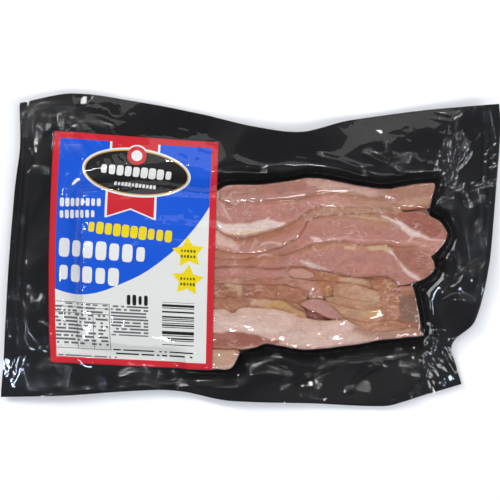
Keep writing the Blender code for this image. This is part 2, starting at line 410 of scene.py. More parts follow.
R1 = Rasher(
    "rasher_01",
    upper=[
        (LEFT_END, 38), (-60, 41), (-30, 36), (-20, 38), (-15, 41), (8, 41.6), (25, 44),
        (38, 45.7), (52, 44.2), (70, 40.6), (86, 38.6), (101, 41), (116.5, 42.5), (117.5, 40),
    ],
    lower=[
        (LEFT_END, 20), (-20, 22), (40, 24), (80, 24), (100, 25), (108, 26.5), (113, 26.5),
        (115.5, 34),
    ],
    tone=colour(162, 113, 101),
    paint=[
        ("rim", PALE_PINK, 0.25, 2.0),
        ("low_rim", ORANGE, 0.4, 5.0),
        ("veins", FAT, 0.55, 5.0, 0.04),
        ("band", colour(188, 152, 140), 0.85,
         [(38, 43), (52, 40.5), (66, 37), (82, 35.5)],
         [2.0, 3.4, 3.6, 2.6], 1.2),
        ("mottle", colour(150, 118, 108), 0.5, 3.0, 2.5, 0.15),
        ("band", colour(160, 118, 101), 0.85, [(84, 36), (96, 38), (112, 38)], [4, 6, 7], 2.0),
        ("band", colour(174, 138, 116), 0.9,
         [(93, 28.5), (100, 30.5), (108, 31.0), (115, 33)],
         [1.0, 2.2, 2.8, 1.8], 1.2),
        ("band", BROWN, 0.9,
         [(94, 25), (104, 25.0), (112, 27), (116, 33)],
         [1.6, 2.6, 1.8, 0.6], 1.0),
        ("line", DARK, 0.6, [(-21, 40), (-19, 36), (-20, 31)], 1.1),
    ],
    lift=0.9,
    slope=0.16,
    rim=1.4,
)
R2 = Rasher(
    "rasher_02",
    upper=[
        (LEFT_END, 30), (-60, 34), (-30, 33.5), (-21, 33), (-13, 29.4), (3, 31), (25, 31.6),
        (33, 32.4), (39, 34.8), (50.7, 36.8), (66, 35), (80, 33), (87, 33), (92, 29.8), (97, 24.0),
        (97.5, 22),
    ],
    lower=[(LEFT_END, 6), (-21, 2), (0, 1), (30, 8), (50, 16), (80, 18), (92, 19), (96, 20)],
    tone=PINK,
    paint=[
        ("rim", ORANGE, 0.8, 2.4),
        ("veins", FAT, 0.55, 4.0, 0.04),
        ("band", FAT, 1.0,
         [(-23, 16.6), (-12, 13.0), (0, 13.6), (9, 15.6), (22, 17.0)],
         [2.0, 3.3, 3.5, 3.6, 0.6], 0.8),
        ("band", FAT, 0.9, [(9, 16), (12, 20.5)], [2.2, 0.3], 0.8),
        ("band", CREAM, 0.7, [(-14, 11.0), (2, 11.0), (18, 13)], [0.8, 1.2, 0.6], 0.7),
        ("band", PALE_PINK, 0.6, [(-22, 32), (-17, 26), (-12, 20)], [3.0, 1.6, 1.0], 1.0),
        ("band", FAT, 0.45, [(-17.5, 29), (-13, 19)], [0.8, 0.5], 0.6),
        ("band", PALE_PINK, 0.8, [(48, 32), (62, 31)], [2.8, 2.4], 2.0),
        ("band", FILM_TAN, 0.85,
         [(62, 33.5), (72, 30.5), (86, 29), (96, 24)],
         [1.0, 4.0, 5.0, 3.0], 1.6),
        ("line", FAT, 0.5, [(36, 30.5), (41, 27)], 0.6),
    ],
    lift=1.1,
    slope=0.15,
)
R3 = Rasher(
    "rasher_03",
    upper=[
        (LEFT_END, 12), (-60, 16), (-30, 15), (-21, 13.5), (-13.5, 8.6), (-6, 6.8), (8, 9.8),
        (21, 14.2), (30, 19.2), (39.4, 26.2), (50.7, 27.4), (69.6, 26.8), (85.4, 26.2), (98, 22.4),
        (99, 21.5),
    ],
    lower=[(LEFT_END, -8), (-21, -9), (0, -9), (20, -6), (34, 0), (60, 8), (85, 14), (96, 19)],
    tone=colour(178, 126, 114),
    paint=[
        ("rim", colour(168, 116, 88), 0.95, 2.6),
        ("band", colour(210, 176, 166), 0.9, [(-24, 8), (-14, 4), (-9, 1)], [4.4, 3.6, 1.0], 2.0),
        ("band", FAT, 0.5, [(-13, 7), (-8, 2)], [1.5, 0.5], 1.2),
        ("band", ORANGE, 0.7, [(-10, 6.5), (8, 7.5), (20, 11)], [1.3, 1.8, 1.6], 1.0),
        ("band", ORANGE, 0.6,
         [(24, 12), (32, 18), (38, 23), (60, 24), (96, 21)],
         [2.5, 2.2, 1.8, 1.4, 1.6], 1.2),
        ("band", FILM_TAN, 0.9,
         [(40, 23.5), (58, 24.5), (84, 23.5), (98, 21)],
         [1.6, 4.0, 4.0, 2.6], 1.4),
        ("line", PALE_TAN, 0.6, [(44, 26.2), (60, 26.4), (78, 25.6)], 0.6),
        ("line", FAT, 0.7, [(6, 3), (12, 4.4), (20, 3.6)], 0.55),
        ("line", CREAM, 0.5, [(0, 1), (8, 2.8)], 0.5),
        ("blob", BROWN, 0.6, 14, 0.5, 4.0, 1.8, 10, 0.4),
        ("veins", FAT, 0.35, 5.0, 0.05),
    ],
    lift=1.2,
    slope=0.22,
)
RA = Rasher(
    "rasher_04",
    upper=[
        (LEFT_END, 0), (-60, 4), (-30, 2), (-21, 0.3), (-9, -2), (8, -1.6), (20.5, 2.2),
        (29.3, 7.2), (33.7, 12.3), (37, 18.8), (43.2, 21.1), (59, 23), (72.8, 23.4), (88.5, 23),
        (97, 24.2), (108.7, 24.2), (120, 18), (125, 10.6), (124.6, 8),
    ],
    lower=[
        (LEFT_END, -20), (-21, -14), (10, -12), (34, -8), (60, -6), (86, -6), (104, -8), (113, -5),
        (119, -0.5), (123.6, 5.5),
    ],
    tone=PINK,
    paint=[
        ("band", PALE_PINK, 0.5, [(44, 18), (70, 20), (92, 16)], [2, 3, 2], 2.5),
        ("rim", ORANGE, 0.7, 2.0),
        ("band", FILM_TAN, 0.85,
         [(48, 21.5), (62, 21.5), (78, 20), (90, 18.4)],
         [0.6, 1.4, 3.6, 3.8], 1.6),
        ("line", CREAM, 0.5, [(62, 21.4), (76, 20.6), (88, 18.4)], 0.7),
        ("band", RED, 0.95, [(92, 20.5), (106, 18.5), (116, 13.5)], [2.5, 6.0, 5.0], 0.9),
        ("band", FAT, 0.95,
         [(84, 21.5), (92, 18), (98, 14.5), (103, 11.0), (112, 7.6), (122, 6)],
         [0.6, 0.8, 2.1, 1.6, 0.6, 0.2], 0.7),
        ("band", FAT, 0.8, [(98, 14), (93, 20)], [1.6, 0.5], 0.7),
        ("line", FAT, 0.6, [(104, 11), (101, 6), (98, 3)], 0.7),
        ("band", PALE_PINK, 0.55, [(101, 4), (118, 4)], [2.5, 2.0], 2.0),
        ("mottle", ORANGE, 0.4, 2.2, 2.5, 0.2),
        ("band", ORANGE, 0.4,
         [(-22, -1.5), (6, -3.5), (24, -1), (34, 4)],
         [1.8, 2.2, 2.4, 2.0], 1.6),
        ("band", TAN, 0.5, [(-22, -4.0), (0, -5.5)], [1.4, 1.0], 1.2),
        ("line", FAT, 0.6, [(4, -4), (11, -2.8), (18, -6.5)], 0.55),
        ("blob", FAT, 0.85, 41.5, 7.0, 3.0, 1.2, -25, 0.35),
        ("mottle", PALE_TAN, 0.25, 2.0, 3.0, 0.3),
    ],
    lift=1.6,
    slope=0.13,
)
RB = Rasher(
    "rasher_05",
    upper=[
        (LEFT_END, -8), (-60, -4), (-30, -5), (-21, -5.5), (-9, -6), (8, -4.7), (21, -2.9),
        (29.3, -0.4), (35, 1.6), (40, 3.4), (57, 5.4), (72.8, 2.9), (86, 3.5), (94.8, 1.6),
        (102, 2.4), (110, 0.0), (114.5, -3.5), (117, -10.5), (115.8, -13.5),
    ],
    lower=[
        (LEFT_END, -26), (-21, -22), (0, -22), (24, -22), (36, -22), (54, -26), (74, -26),
        (92, -24), (101, -21.2), (108, -19.6), (113.6, -15.5),
    ],
    tone=PINK,
    paint=[
        ("rim", ORANGE, 0.8, 3.2),
        ("band", TAN, 0.6, [(40, 1.5), (58, 3.2), (72, 0.8), (90, 0.6)], [1.2, 1.5, 1.6, 1.6], 1.0),
        ("band", CREAM, 0.8, [(61, 2.0), (66, 1.2)], [1.2, 1.0], 0.8),
        ("band", CREAM, 0.95, [(76, 1.5), (84, 1.2), (90, -1.5)], [1.5, 1.9, 1.4], 0.8),
        ("band", colour(154, 102, 88), 0.95,
         [(92, -1), (104, -6), (112, -11)],
         [2.2, 6.5, 6.0], 1.2),
        ("band", FAT, 0.9,
         [(88, -0.5), (92.5, -5), (97, -10.5), (101.5, -15), (107, -18)],
         [0.9, 0.4, 0.6, 1.3, 1.2], 0.5),
        ("band", FAT, 0.85, [(33, -7), (40, -10), (50, -13.8)], [0.6, 2.0, 0.9], 1.2),
        ("band", ORANGE, 0.55, [(-22, -8.0), (6, -7.5), (24, -4)], [1.5, 1.8, 1.8], 1.6),
        ("mottle", ORANGE, 0.3, 2.5, 2.5, 0.3),
        ("hatch", PALE_PINK, 0.3, 4.0, 50.0),
        ("veins", FAT, 0.22, 6.0, 0.04),
    ],
    lift=1.9,
    slope=0.15,
)
C1 = Rasher(
    "rasher_06",
    upper=[
        (LEFT_END, -14), (-60, -9), (-23, -11), (0, -10.6), (13, -12), (29.3, -10.8),
        (41.3, -11.9), (50.7, -13.7), (66.5, -17.3), (86, -16.9), (92.3, -20.5), (94, -22),
    ],
    lower=[(LEFT_END, -30), (-23, -26), (20, -26), (50, -28), (74, -28), (90, -27)],
    tone=colour(166, 114, 92),
    paint=[
        ("rim", BROWN, 0.7, 1.4),
        ("mottle", colour(180, 130, 110), 0.4, 1.6, 3.0, 0.05),
        ("mottle", ORANGE, 0.65, 2.2, 2.5, 0.05),
        ("hatch", CREAM, 0.25, 3.0, -25.0),
        ("band", colour(168, 112, 74), 0.8,
         [(44, -16), (56, -18), (70, -20)],
         [2.5, 3.5, 3.0], 1.6),
        ("band", CREAM, 0.7, [(58, -18.5), (66, -20), (72, -20.5)], [1.4, 2.0, 1.6], 0.9),
        ("band", DARK, 0.8, [(73, -18), (79, -19.5)], [1.4, 1.2], 0.9),
    ],
    lift=0.6,
    slope=0.3,
    across=36,
    seam=DEEP,
)
C1P = Rasher(
    "rasher_07",
    upper=[(23.8, -13.6), (27, -11.2), (33, -11.5), (39, -13.8), (41, -16)],
    lower=[(24.4, -15), (27.5, -17.6), (33, -18.0), (38, -17.8), (40.4, -16.8)],
    tone=PALE_PINK,
    paint=[("rim", TAN, 0.5, 1.0), ("low_rim", FAT, 0.35, 1.2)],
    lift=1.0,
    slope=0.12,
    along=FINE,
    across=26,
    seam=FAINT,
)
C2 = Rasher(
    "rasher_08",
    upper=[
        (LEFT_END, -20), (-60, -16), (-23, -17.4), (0, -18.0), (16, -18.2), (25, -17.4),
        (33, -18.6), (44, -19.4), (58, -20.2), (60, -22),
    ],
    lower=[(LEFT_END, -34), (-23, -30), (20, -30), (40, -32), (56, -31)],
    tone=colour(160, 108, 88),
    paint=[
        ("mottle", PALE_PINK, 0.5, 2.2, 3.5, 0.1),
        ("band", colour(182, 134, 118), 0.85, [(33, -20), (37, -27), (42, -31)], [2.5, 6, 6], 1.6),
        ("band", colour(166, 108, 72), 0.85, [(48, -20), (52, -29)], [5.5, 5.5], 1.6),
        ("hatch", CREAM, 0.3, 1.6, 88.0),
        ("band", CREAM, 0.45, [(-10, -20), (-8, -26)], [1.6, 2.6], 2.0),
        ("mottle", colour(176, 122, 100), 0.5, 1.3, 2.0, 0.1),
        ("veins", CREAM, 0.35, 4.0, 0.06),
    ],
    lift=0.7,
    slope=0.4,
    across=34,
    seam=FAINT,
)
C3 = Rasher(
    "rasher_09",
    upper=[
        (LEFT_END, -26), (-60, -20), (-23, -20.6), (-8, -21.6), (8, -22.0), (20, -22.2), (30, -24),
        (36, -25.5), (37, -27),
    ],
    lower=[(LEFT_END, -38), (-23, -36), (20, -37), (34, -38)],
    tone=colour(156, 102, 80),
    paint=[
        ("mottle", TAN, 0.5, 1.6, 3.0, 0.1),
        ("mottle", colour(176, 122, 100), 0.5, 1.3, 2.0, 0.1),
        ("band", CREAM, 0.6, [(-15, -21), (-8, -23.5), (-6, -28)], [1.2, 2.6, 1.4], 1.4),
        ("hatch", CREAM, 0.28, 1.2, -40.0),
        ("veins", DARK, 0.3, 4.0, 0.05),
    ],
    lift=0.8,
    slope=0.16,
    across=34,
    seam=FAINT,
)
D1 = Rasher(
    "rasher_10",
    upper=[(53, -21), (60, -20.3), (71, -22.4), (80.5, -26.2), (83, -30), (82, -32)],
    lower=[(53, -31), (60, -33), (70, -35), (79, -35), (81, -33)],
    tone=colour(182, 140, 114),
    paint=[
        ("rim", ORANGE, 0.45, 1.2),
        ("mottle", CREAM, 0.3, 3.0, 2.0, 0.0),
        ("mottle", ORANGE, 0.35, 2.0, 2.0, 0.2),
        ("band", ORANGE, 0.6, [(54, -22), (56, -30)], [2, 2], 1.5),
    ],
    lift=0.9,
    slope=0.1,
    along=FINE,
    across=30,
    seam=FAINT,
)
D2 = Rasher(
    "rasher_11",
    upper=[(48, -29.5), (56, -29.6), (66, -31.6), (79, -32.6), (82, -33.5)],
    lower=[(48, -34), (57, -37), (66, -40), (79, -41), (82, -39)],
    tone=colour(178, 134, 108),
    paint=[
        ("rim", CREAM, 0.35, 1.0),
        ("mottle", CREAM, 0.3, 3.0, 2.0, 0.0),
        ("mottle", ORANGE, 0.4, 2.0, 2.0, 0.2),
        ("line", GREY_TAN, 0.6, [(60, -30.6), (70, -31.9), (79, -32.4)], 0.5),
    ],
    lift=1.0,
    slope=0.16,
    along=FINE,
    across=28,
    seam=FAINT,
)
D3 = Rasher(
    "rasher_12",
    upper=[
        (44, -30.8), (51, -32.8), (58, -35.0), (66, -37.0), (73, -38.0), (82, -36.4), (84, -37.5),
    ],
    lower=[(44, -38), (56, -43), (66, -46), (76, -47), (83.5, -45)],
    tone=colour(182, 140, 112),
    paint=[
        ("rim", BROWN, 0.5, 0.9),
        ("mottle", CREAM, 0.35, 3.0, 2.0, 0.0),
        ("mottle", ORANGE, 0.35, 2.0, 2.0, 0.25),
        ("blob", colour(196, 152, 98), 0.75, 79.5, -40.5, 4.0, 2.4, 0, 0.6),
    ],
    lift=1.1,
    slope=0.16,
    along=FINE,
    across=32,
    seam=FAINT,
)
D4 = Rasher(
    "rasher_13",
    upper=[(54, -43), (62, -43.4), (72, -45.4), (82, -45), (90, -44), (99, -46.5), (100, -48)],
    lower=[(54, -47), (64, -52), (76, -54), (90, -53), (99, -50)],
    tone=colour(180, 136, 110),
    paint=[
        ("rim", ORANGE, 0.5, 0.9),
        ("mottle", CREAM, 0.35, 3.0, 2.0, 0.0),
        ("mottle", ORANGE, 0.4, 2.0, 2.0, 0.2),
        ("band", ORANGE, 0.8, [(76, -50), (88, -47), (99, -48)], [1.0, 1.8, 2.0], 1.2),
    ],
    lift=1.1,
    slope=0.18,
    along=FINE,
    across=28,
    seam=FAINT,
)
CR = Rasher(
    "rasher_14",
    upper=[(76, -19.0), (80, -18.4), (86, -18.0), (92, -20.2), (94.5, -25), (94.6, -32)],
    lower=[(80, -30), (82, -40), (84, -48), (88, -50), (92, -49), (94, -40)],
    tone=colour(166, 114, 88),
    paint=[
        ("mottle", CREAM, 0.45, 1.2, 1.4, 0.15),
        ("mottle", BROWN, 0.7, 1.5, 1.0, 0.1),
        ("veins", DARK, 0.4, 2.0, 0.08),
        ("blob", ORANGE, 0.7, 80, -20, 4.5, 2.4, -20, 0.5),
    ],
    lift=0.7,
    slope=0.03,
    along=FINE,
    across=60,
    seam=FAINT,
)
EN = Rasher(
    "rasher_15",
    upper=[(91.5, -26.5), (94.5, -23.6), (99, -22.6), (103, -22.6), (104, -25)],
    lower=[(91.5, -44), (94, -50), (99, -51.5), (106, -51.5), (108.6, -49.5)],
    tone=colour(126, 94, 80),
    paint=[
        ("rim", colour(176, 124, 98), 0.9, 4.6),
        ("band", ORANGE, 0.9, [(93, -29), (98, -27.5), (104, -28)], [1.0, 1.4, 0.8], 1.0),
        ("band", ORANGE, 0.9, [(92.0, -26), (93, -34), (92.6, -46)], [1.6, 1.2, 2.2], 1.0),
        ("band", BROWN, 0.8, [(93, -45), (100, -47.0), (107, -48.5)], [1.6, 2.2, 1.8], 1.4),
        ("line", BROWN, 0.6, [(94, -38.5), (99, -38.8), (104, -38)], 0.5),
        ("hatch", colour(160, 128, 110), 0.35, 3.0, -60.0),
    ],
    lift=0.9,
    slope=0.06,
    along=FINE,
    across=44,
)
C4 = Rasher(
    "rasher_16",
    upper=[
        (LEFT_END, -32), (-60, -29), (-23, -30.4), (-6, -29.4), (8, -30.2), (18, -31.2),
        (30, -33.5), (34, -37), (36, -42),
    ],
    lower=[(LEFT_END, -46), (-23, -46), (0, -46), (20, -46), (34, -48)],
    tone=colour(158, 106, 84),
    paint=[
        ("rim", BROWN, 0.6, 1.0),
        ("mottle", TAN, 0.6, 1.6, 2.0, 0.05),
        ("hatch", CREAM, 0.35, 1.3, -42.0),
        ("band", colour(196, 160, 130), 0.8,
         [(2, -33), (10, -33.6), (16, -34)],
         [1.6, 2.4, 1.2], 1.0),
        ("band", colour(186, 146, 98), 0.95,
         [(11, -35.5), (19, -34.5), (26, -37), (33, -41.5)],
         [0.9, 2.6, 2.8, 1.8], 0.7),
        ("band", DARK, 0.55, [(22, -32), (29, -36), (35, -39.5)], [0.5, 0.8, 0.8], 0.7),
    ],
    lift=0.9,
    slope=0.2,
    across=34,
    seam=FAINT,
)
MV = Rasher(
    "rasher_17",
    upper=[(31.5, -33.5), (36, -31.6), (44, -31.2), (49, -33.2), (55, -38), (60, -43)],
    lower=[(31.5, -35), (36, -37.6), (43, -40.4), (50, -43.4), (59, -45.5)],
    tone=colour(178, 130, 122),
    paint=[("rim", TAN, 0.5, 1.2), ("mottle", PALE_PINK, 0.5, 2.6, 2.0, 0.0), ("low_rim", ORANGE, 0.5, 1.2)],
    lift=1.7,
    slope=0.12,
    along=FINE,
    across=28,
    seam=FAINT,
)
F = Rasher(
    "rasher_18",
    upper=[
        (LEFT_END, -36), (-60, -34), (-23, -36.9), (-15.4, -37.5), (-10.4, -39.4), (-6, -36.4),
        (13, -36.9), (22.4, -38.4), (33.7, -42.6), (47.6, -44.6), (60.2, -43.6), (67, -47),
        (74.7, -50.6), (91.7, -50.6), (101, -48.8), (107, -50.0), (110, -52.8),
    ],
    lower=[
        (LEFT_END, -58), (-60, -62), (-23, -62.4), (-4, -63), (3.5, -61.6), (9.8, -59.2),
        (16.7, -60.2), (33.7, -63), (59, -60.8), (83.5, -57), (98, -55.4), (109.8, -54),
    ],
    tone=colour(206, 176, 164),
    paint=[
        # The cream along the upper edge is a painted highlight.
        ("rim", CREAM, 0.4, 2.5),
        ("band", FAT, 0.6, [(-20, -46), (0, -49), (30, -54)], [1.5, 1.4, 0.8], 1.6),
        ("band", colour(142, 108, 94), 0.85,
         [(66, -50), (84, -54), (108, -53)],
         [1.5, 3.4, 3.0], 3.0),
        ("band", RED, 1.0,
         [(-24, -57.0), (-8, -57.0), (6, -57.5), (19, -59)],
         [4.6, 5.2, 3.6, 0.8], 0.7),
        ("mottle", PALE_PINK, 0.25, 5.0, 3.0, 0.1),
        ("line", TAN, 0.8, [(-24, -61.6), (-12, -61.4), (-2, -62.2)], 0.7),
        # Painted highlight along the right end of the upper edge, in cream.
        ("band", CREAM, 0.5, [(96, -50.8), (103, -50.4), (109, -52.6)], [0.6, 0.9, 0.6], 0.7),
        ("low_rim", PALE_PINK, 0.45, 2.0),
        ("band", ORANGE, 0.7,
         [(68, -49.4), (84, -51.2), (100, -49.6), (109, -52)],
         [0.6, 1.0, 1.2, 0.8], 0.9),
    ],
    lift=1.0,
    slope=0.10,
    rim=1.4,
)
G = Rasher(
    "rasher_19",
    upper=[(-40, -60), (-23, -62.4), (-12, -62.8), (-7.2, -63.6), (-7.2, -66.5)],
    lower=[(-40, -75.5), (-23, -75.4), (-15, -75.8), (-11, -74.2), (-9.0, -70.5)],
    tone=colour(182, 146, 126),
    paint=[("rim", TAN, 0.6, 1.6), ("low_rim", FAT, 0.5, 3.0), ("mottle", CREAM, 0.3, 3.0, 2.0, 0.1)],
    lift=-0.4,
    slope=0.15,
    along=FINE,
    across=34,
    rim=2.0,
)
RASHERS = [R1, R2, R3, RA, RB, C1, C1P, C2, C3, CR, D1, D2, D3, D4, EN, C4, MV, F, G]


# ---------------------------------------------------------------- heights on a plan raster

CELL = 0.6
X0, X1, Y0, Y1 = -162.0, 162.0, -104.0, 104.0
RX = np.arange(X0, X1 + CELL / 2, CELL)
RY = np.arange(Y0, Y1 + CELL / 2, CELL)
GX, GY = np.meshgrid(RX, RY, indexing="ij")


def spread(h, turns=1):
    """Each cell takes its highest neighbour."""
    for _ in range(turns):
        p = np.pad(h, 1, mode="edge")
        beside = [p[:-2, 1:-1], p[2:, 1:-1], p[1:-1, :-2], p[1:-1, 2:]]
        h = np.maximum.reduce([h, *beside])
    return h


def average(h, turns=1):
    for _ in range(turns):
        p = np.pad(h, 1, mode="edge")
        h = (p[:-2, 1:-1] + p[2:, 1:-1] + p[1:-1, :-2] + p[1:-1, 2:]) * 0.25
    return h


def draw_down(over, turns):
    """A membrane stretched over what it lies on."""
    h = over.copy()
    for _ in range(turns):
        h = np.maximum(over, average(h))
    return h


def sample(raster, x, y):
    fx = np.clip((x - X0) / CELL, 0, raster.shape[0] - 1.001)
    fy = np.clip((y - Y0) / CELL, 0, raster.shape[1] - 1.001)
    ix, iy = fx.astype(int), fy.astype(int)
    tx, ty = fx - ix, fy - iy
    low = raster[ix, iy] * (1 - ty) + raster[ix, iy + 1] * ty
    high = raster[ix + 1, iy] * (1 - ty) + raster[ix + 1, iy + 1] * ty
    return low * (1 - tx) + high * tx


def distance_to(mask):
    """Distance in mm of each cell from the nearest cell of the mask."""
    run = np.where(mask, 0.0, 1e4)
    for i in range(1, run.shape[0]):
        run[i] = np.minimum(run[i], run[i - 1] + 1)
    for i in range(run.shape[0] - 2, -1, -1):
        run[i] = np.minimum(run[i], run[i + 1] + 1)
    best = run**2
    for k in range(1, run.shape[1]):
        best[:, k:] = np.minimum(best[:, k:], run[:, :-k] ** 2 + k * k)
        best[:, :-k] = np.minimum(best[:, :-k], run[:, k:] ** 2 + k * k)
    return np.sqrt(best) * CELL


def core_edges(x):
    """Top and bottom edge of the rashers that lie hidden below the others."""
    top = np.interp(x, [-106, -30, 40, 86, 112], [36, 36, 42, 35, 33])
    bottom = np.interp(x, [-106, -60, 20, 60, 100, 112], [-55, -59, -57, -57, -51, -20])
    return top, bottom


def cells(x, y):
    """The raster cells that plan points lie in."""
    cx = np.clip(np.rint((x - X0) / CELL).astype(int), 0, len(RX) - 1)
    cy = np.clip(np.rint((y - Y0) / CELL).astype(int), 0, len(RY) - 1)
    return cx, cy


NO_MEAT = -9.0
meat = np.full(GX.shape, NO_MEAT)
for piece in RASHERS:
    cx, cy = cells(piece.plan_x, piece.plan_y)
    np.maximum.at(meat, (cx.ravel(), cy.ravel()), piece.z.ravel())
meat = spread(meat, 1)
filled = np.where(meat > 0, meat, 8.0)
edge_cells = {depth: np.zeros(GX.shape, bool) for depth in (DEEP, STRONG, FAINT)}
for piece in RASHERS:
    ex, ey, ez = piece.plan_x[:, -3], piece.plan_y[:, -3], piece.z[:, -3]
    cx, cy = cells(piece.plan_x[:, -1], piece.plan_y[:, -1])
    seen = ez > sample(filled, ex, ey) - 0.7
    edge_cells[piece.seam][cx[seen], cy[seen]] = True
seam_distances = [distance_to(edge_cells[depth]) for depth in (DEEP, STRONG, FAINT)]
has_meat = meat > 0
beyond = distance_to(has_meat) - distance_to(~has_meat)
floor_film = flange_middle(GX, GY) - 0.25
wall_width = WALL_OUT + 6.0 * noise(GX, GY, 24, seed=90, octaves=2)
ground = floor_film * smooth(0.0, 1.0, (beyond + FOOT_IN) / (wall_width + FOOT_IN))
bed = np.where(has_meat, meat + 0.15, ground + 0.25)

# The label lies on the pile and hangs over its end and both long sides.
LABEL_W, LABEL_H = 102.0, 144.0
LABEL_CORNERS = [(-122.5, 74.7), (-19.8, 67.7), (-23.6, -74.7), (-125.0, -70.2)]
LABEL_BOW = 2.2


def label_plan(p, q):
    """Plan point of a place p mm from the label's left edge and q mm below its top."""
    u, v = p / LABEL_W, q / LABEL_H
    tl, tr, br, bl = [np.array(c) for c in LABEL_CORNERS]
    x = (tl[0] * (1 - u) + tr[0] * u) * (1 - v) + (bl[0] * (1 - u) + br[0] * u) * v
    y = (tl[1] * (1 - u) + tr[1] * u) * (1 - v) + (bl[1] * (1 - u) + br[1] * u) * v
    return x - LABEL_BOW * (1 - u) * 4 * v * (1 - v), y


paper_bed = draw_down(bed, 160)
paper_bed = np.maximum(average(paper_bed, 30), bed) + 0.1
across_label = np.linspace(0, LABEL_W, 260)
down_label = np.linspace(0, LABEL_H, 360)
on_label = np.zeros(GX.shape, bool)
on_label[cells(*label_plan(*np.meshgrid(across_label, down_label, indexing="ij")))] = True
bed_with_label = np.where(on_label, paper_bed + 0.35, bed)

film = average(draw_down(bed_with_label, 12), 10)
wall = draw_down(np.where(beyond < -1.0, film, bed_with_label), 90)
film = np.where(beyond > -1.0, np.maximum(film, wall), film)
film = np.maximum(average(film, 2), bed_with_label) + 0.12
away_film = np.maximum(average(film, 50), bed_with_label + 0.12)
ease = smooth(1.5, 5.0, beyond)
film = film * (1 - ease) + away_film * ease


# ---------------------------------------------------------------- creases in the films

# Each crease: its course in plan, half-width and height.
CREASES = [
    ([(-138, 45), (-137.5, 80), (-134, 88), (-118, 90), (-88, 88)], 1.6, 0.9),
    ([(-136, 52), (-124, 49)], 1.4, 0.8),
    ([(-134, 80), (-128, 74), (-122, 84)], 1.8, 1.0),
    ([(-120, 88), (-108, 74), (-96, 60)], 1.6, 0.8),
    ([(-128, 86), (-116, 72), (-106, 56)], 1.5, 0.7),
    ([(-112, 92), (-100, 80), (-84, 74)], 2.0, 0.9),
    ([(-142, -26), (-134, -34), (-128, -28)], 2.2, 1.3),
    ([(-133, -44), (-126, -50), (-128, -64)], 1.8, 0.9),
    ([(-124, -70), (-118, -78), (-116, -70)], 1.6, 1.0),
    ([(-70, -78), (-52, -84), (-36, -76)], 2.4, 1.0),
    ([(139, 90), (130, 84), (129, 77)], 1.2, 1.1),
    ([(131, 74), (128, 60), (124, 46)], 2.4, 1.6),
    ([(136, 61), (122, 46), (117, 39), (114.5, 27)], 1.2, 1.5),
    ([(146, 42), (138, 34), (134, 28)], 2.6, 1.2),
    ([(144, 20), (141, 8), (146, -2)], 2.0, 1.2),
    ([(148, -6), (136, -12), (126, -22)], 1.8, 1.6),
    ([(121, -2), (129, -4), (128, -20), (116, -32)], 1.3, 1.0),
    ([(116, -34), (130, -28), (141, -32)], 1.8, 1.0),
    ([(109, -42), (118, -50), (126, -58)], 1.4, 1.0),
    ([(112, -54), (122, -66), (130, -80)], 1.8, 1.2),
    ([(115, -68), (108, -82), (101, -92)], 1.2, 1.2),
    ([(96, -60), (106, -66), (112, -60)], 1.4, 0.9),
    ([(70, 62), (88, 54), (104, 60)], 2.6, 1.1),
    ([(84, 70), (90, 52), (98, 46)], 1.6, 0.8),
    ([(38, 60), (60, 54), (80, 44)], 2.8, 0.8),
    ([(-14, 58), (10, 50), (30, 50)], 3.0, 0.7),
    ([(-10, -80), (10, -72), (30, -78)], 3.0, 0.9),
    ([(20, -86), (44, -76), (62, -68)], 2.2, 0.8),
    ([(60, -92), (70, -78), (86, -70)], 2.2, 0.9),
    ([(151, 80), (150, 40), (146, 0), (140, -30)], 1.2, 0.7),
    ([(147, 82), (146, 44), (142, 6)], 1.2, 0.5),
    ([(-151, -60), (-148, -10), (-144, 40), (-141, 80)], 1.3, 0.8),
    ([(-147, -62), (-144, -12), (-140, 38)], 1.2, 0.6),
    ([(-150, -86), (-100, -85), (-60, -82)], 1.4, 0.6),
]

# Tilted facets: centre, radius, slope, and the side in degrees that they face.
FACETS = [
    (130, 62, 6.0, 0.32, 150),
    (124, 47, 5.0, 0.30, 150),
    (139, 37, 7.0, 0.30, 20),
    (146, 30, 4.0, 0.30, 0),
    (142, 8, 4.0, 0.30, 45),
    (134, -15, 5.0, 0.30, 140),
    (127, -22, 5.0, 0.30, 140),
    (-104, 94, 5.0, 0.30, 150),
    (-104, 80, 6.0, 0.32, 40),
    (-120, 82, 5.0, 0.32, 135),
    (-54, -83, 6.0, 0.30, 225),
    (-42, -88, 5.0, 0.30, 315),
    (-92, -84, 5.0, 0.30, 225),
    (-138, -31, 5.0, 0.32, 180),
    (-136, -58, 5.0, 0.30, 225),
]


def crumple(x, y):
    """How far creases lift both films, in mm."""
    away = sample(beyond, x, y)
    free = smooth(5.0, 16.0, away)
    total = np.zeros(x.shape)
    for points, half, height in CREASES:
        d, t = near(x, y, points, 20)
        ends = smooth(0, 0.2, t) * (1 - smooth(0.8, 1, t))
        total = total + height * ends * smooth(half * 1.5, 0.0, d)
    for cx, cy, radius, slope, side in FACETS:
        c, n = math.cos(math.radians(side)), math.sin(math.radians(side))
        along = (x - cx) * c + (y - cy) * n
        window = np.exp(-((((x - cx) ** 2 + (y - cy) ** 2) / radius**2) ** 1.5))
        total = total - slope * along * window
    warp = 5 * noise(x, y, 26, seed=70, octaves=2)
    ends = smooth(96, 124, x) + smooth(-118, -136, x) * smooth(-30, 30, np.abs(y + 5))
    upper_left = smooth(62, 84, y) * smooth(-50, -90, x)
    lower_left = smooth(-68, -84, y) * smooth(-20, -60, x)
    corners = upper_left + lower_left
    tight = np.clip(0.22 + ends + corners, 0, 1)
    total = total + free * tight * 0.6 * facets(x + warp, y - warp, 19, 75)
    total = total + free * tight * 0.15 * facets(x - 0.6 * warp, y + 0.6 * warp, 8, 76)
    total = total + free * 0.8 * facets(0.62 * x + warp, y - warp, 23, 77)
    total = total + free * 0.7 * noise(x, y, 34, seed=73, octaves=2)
    return total


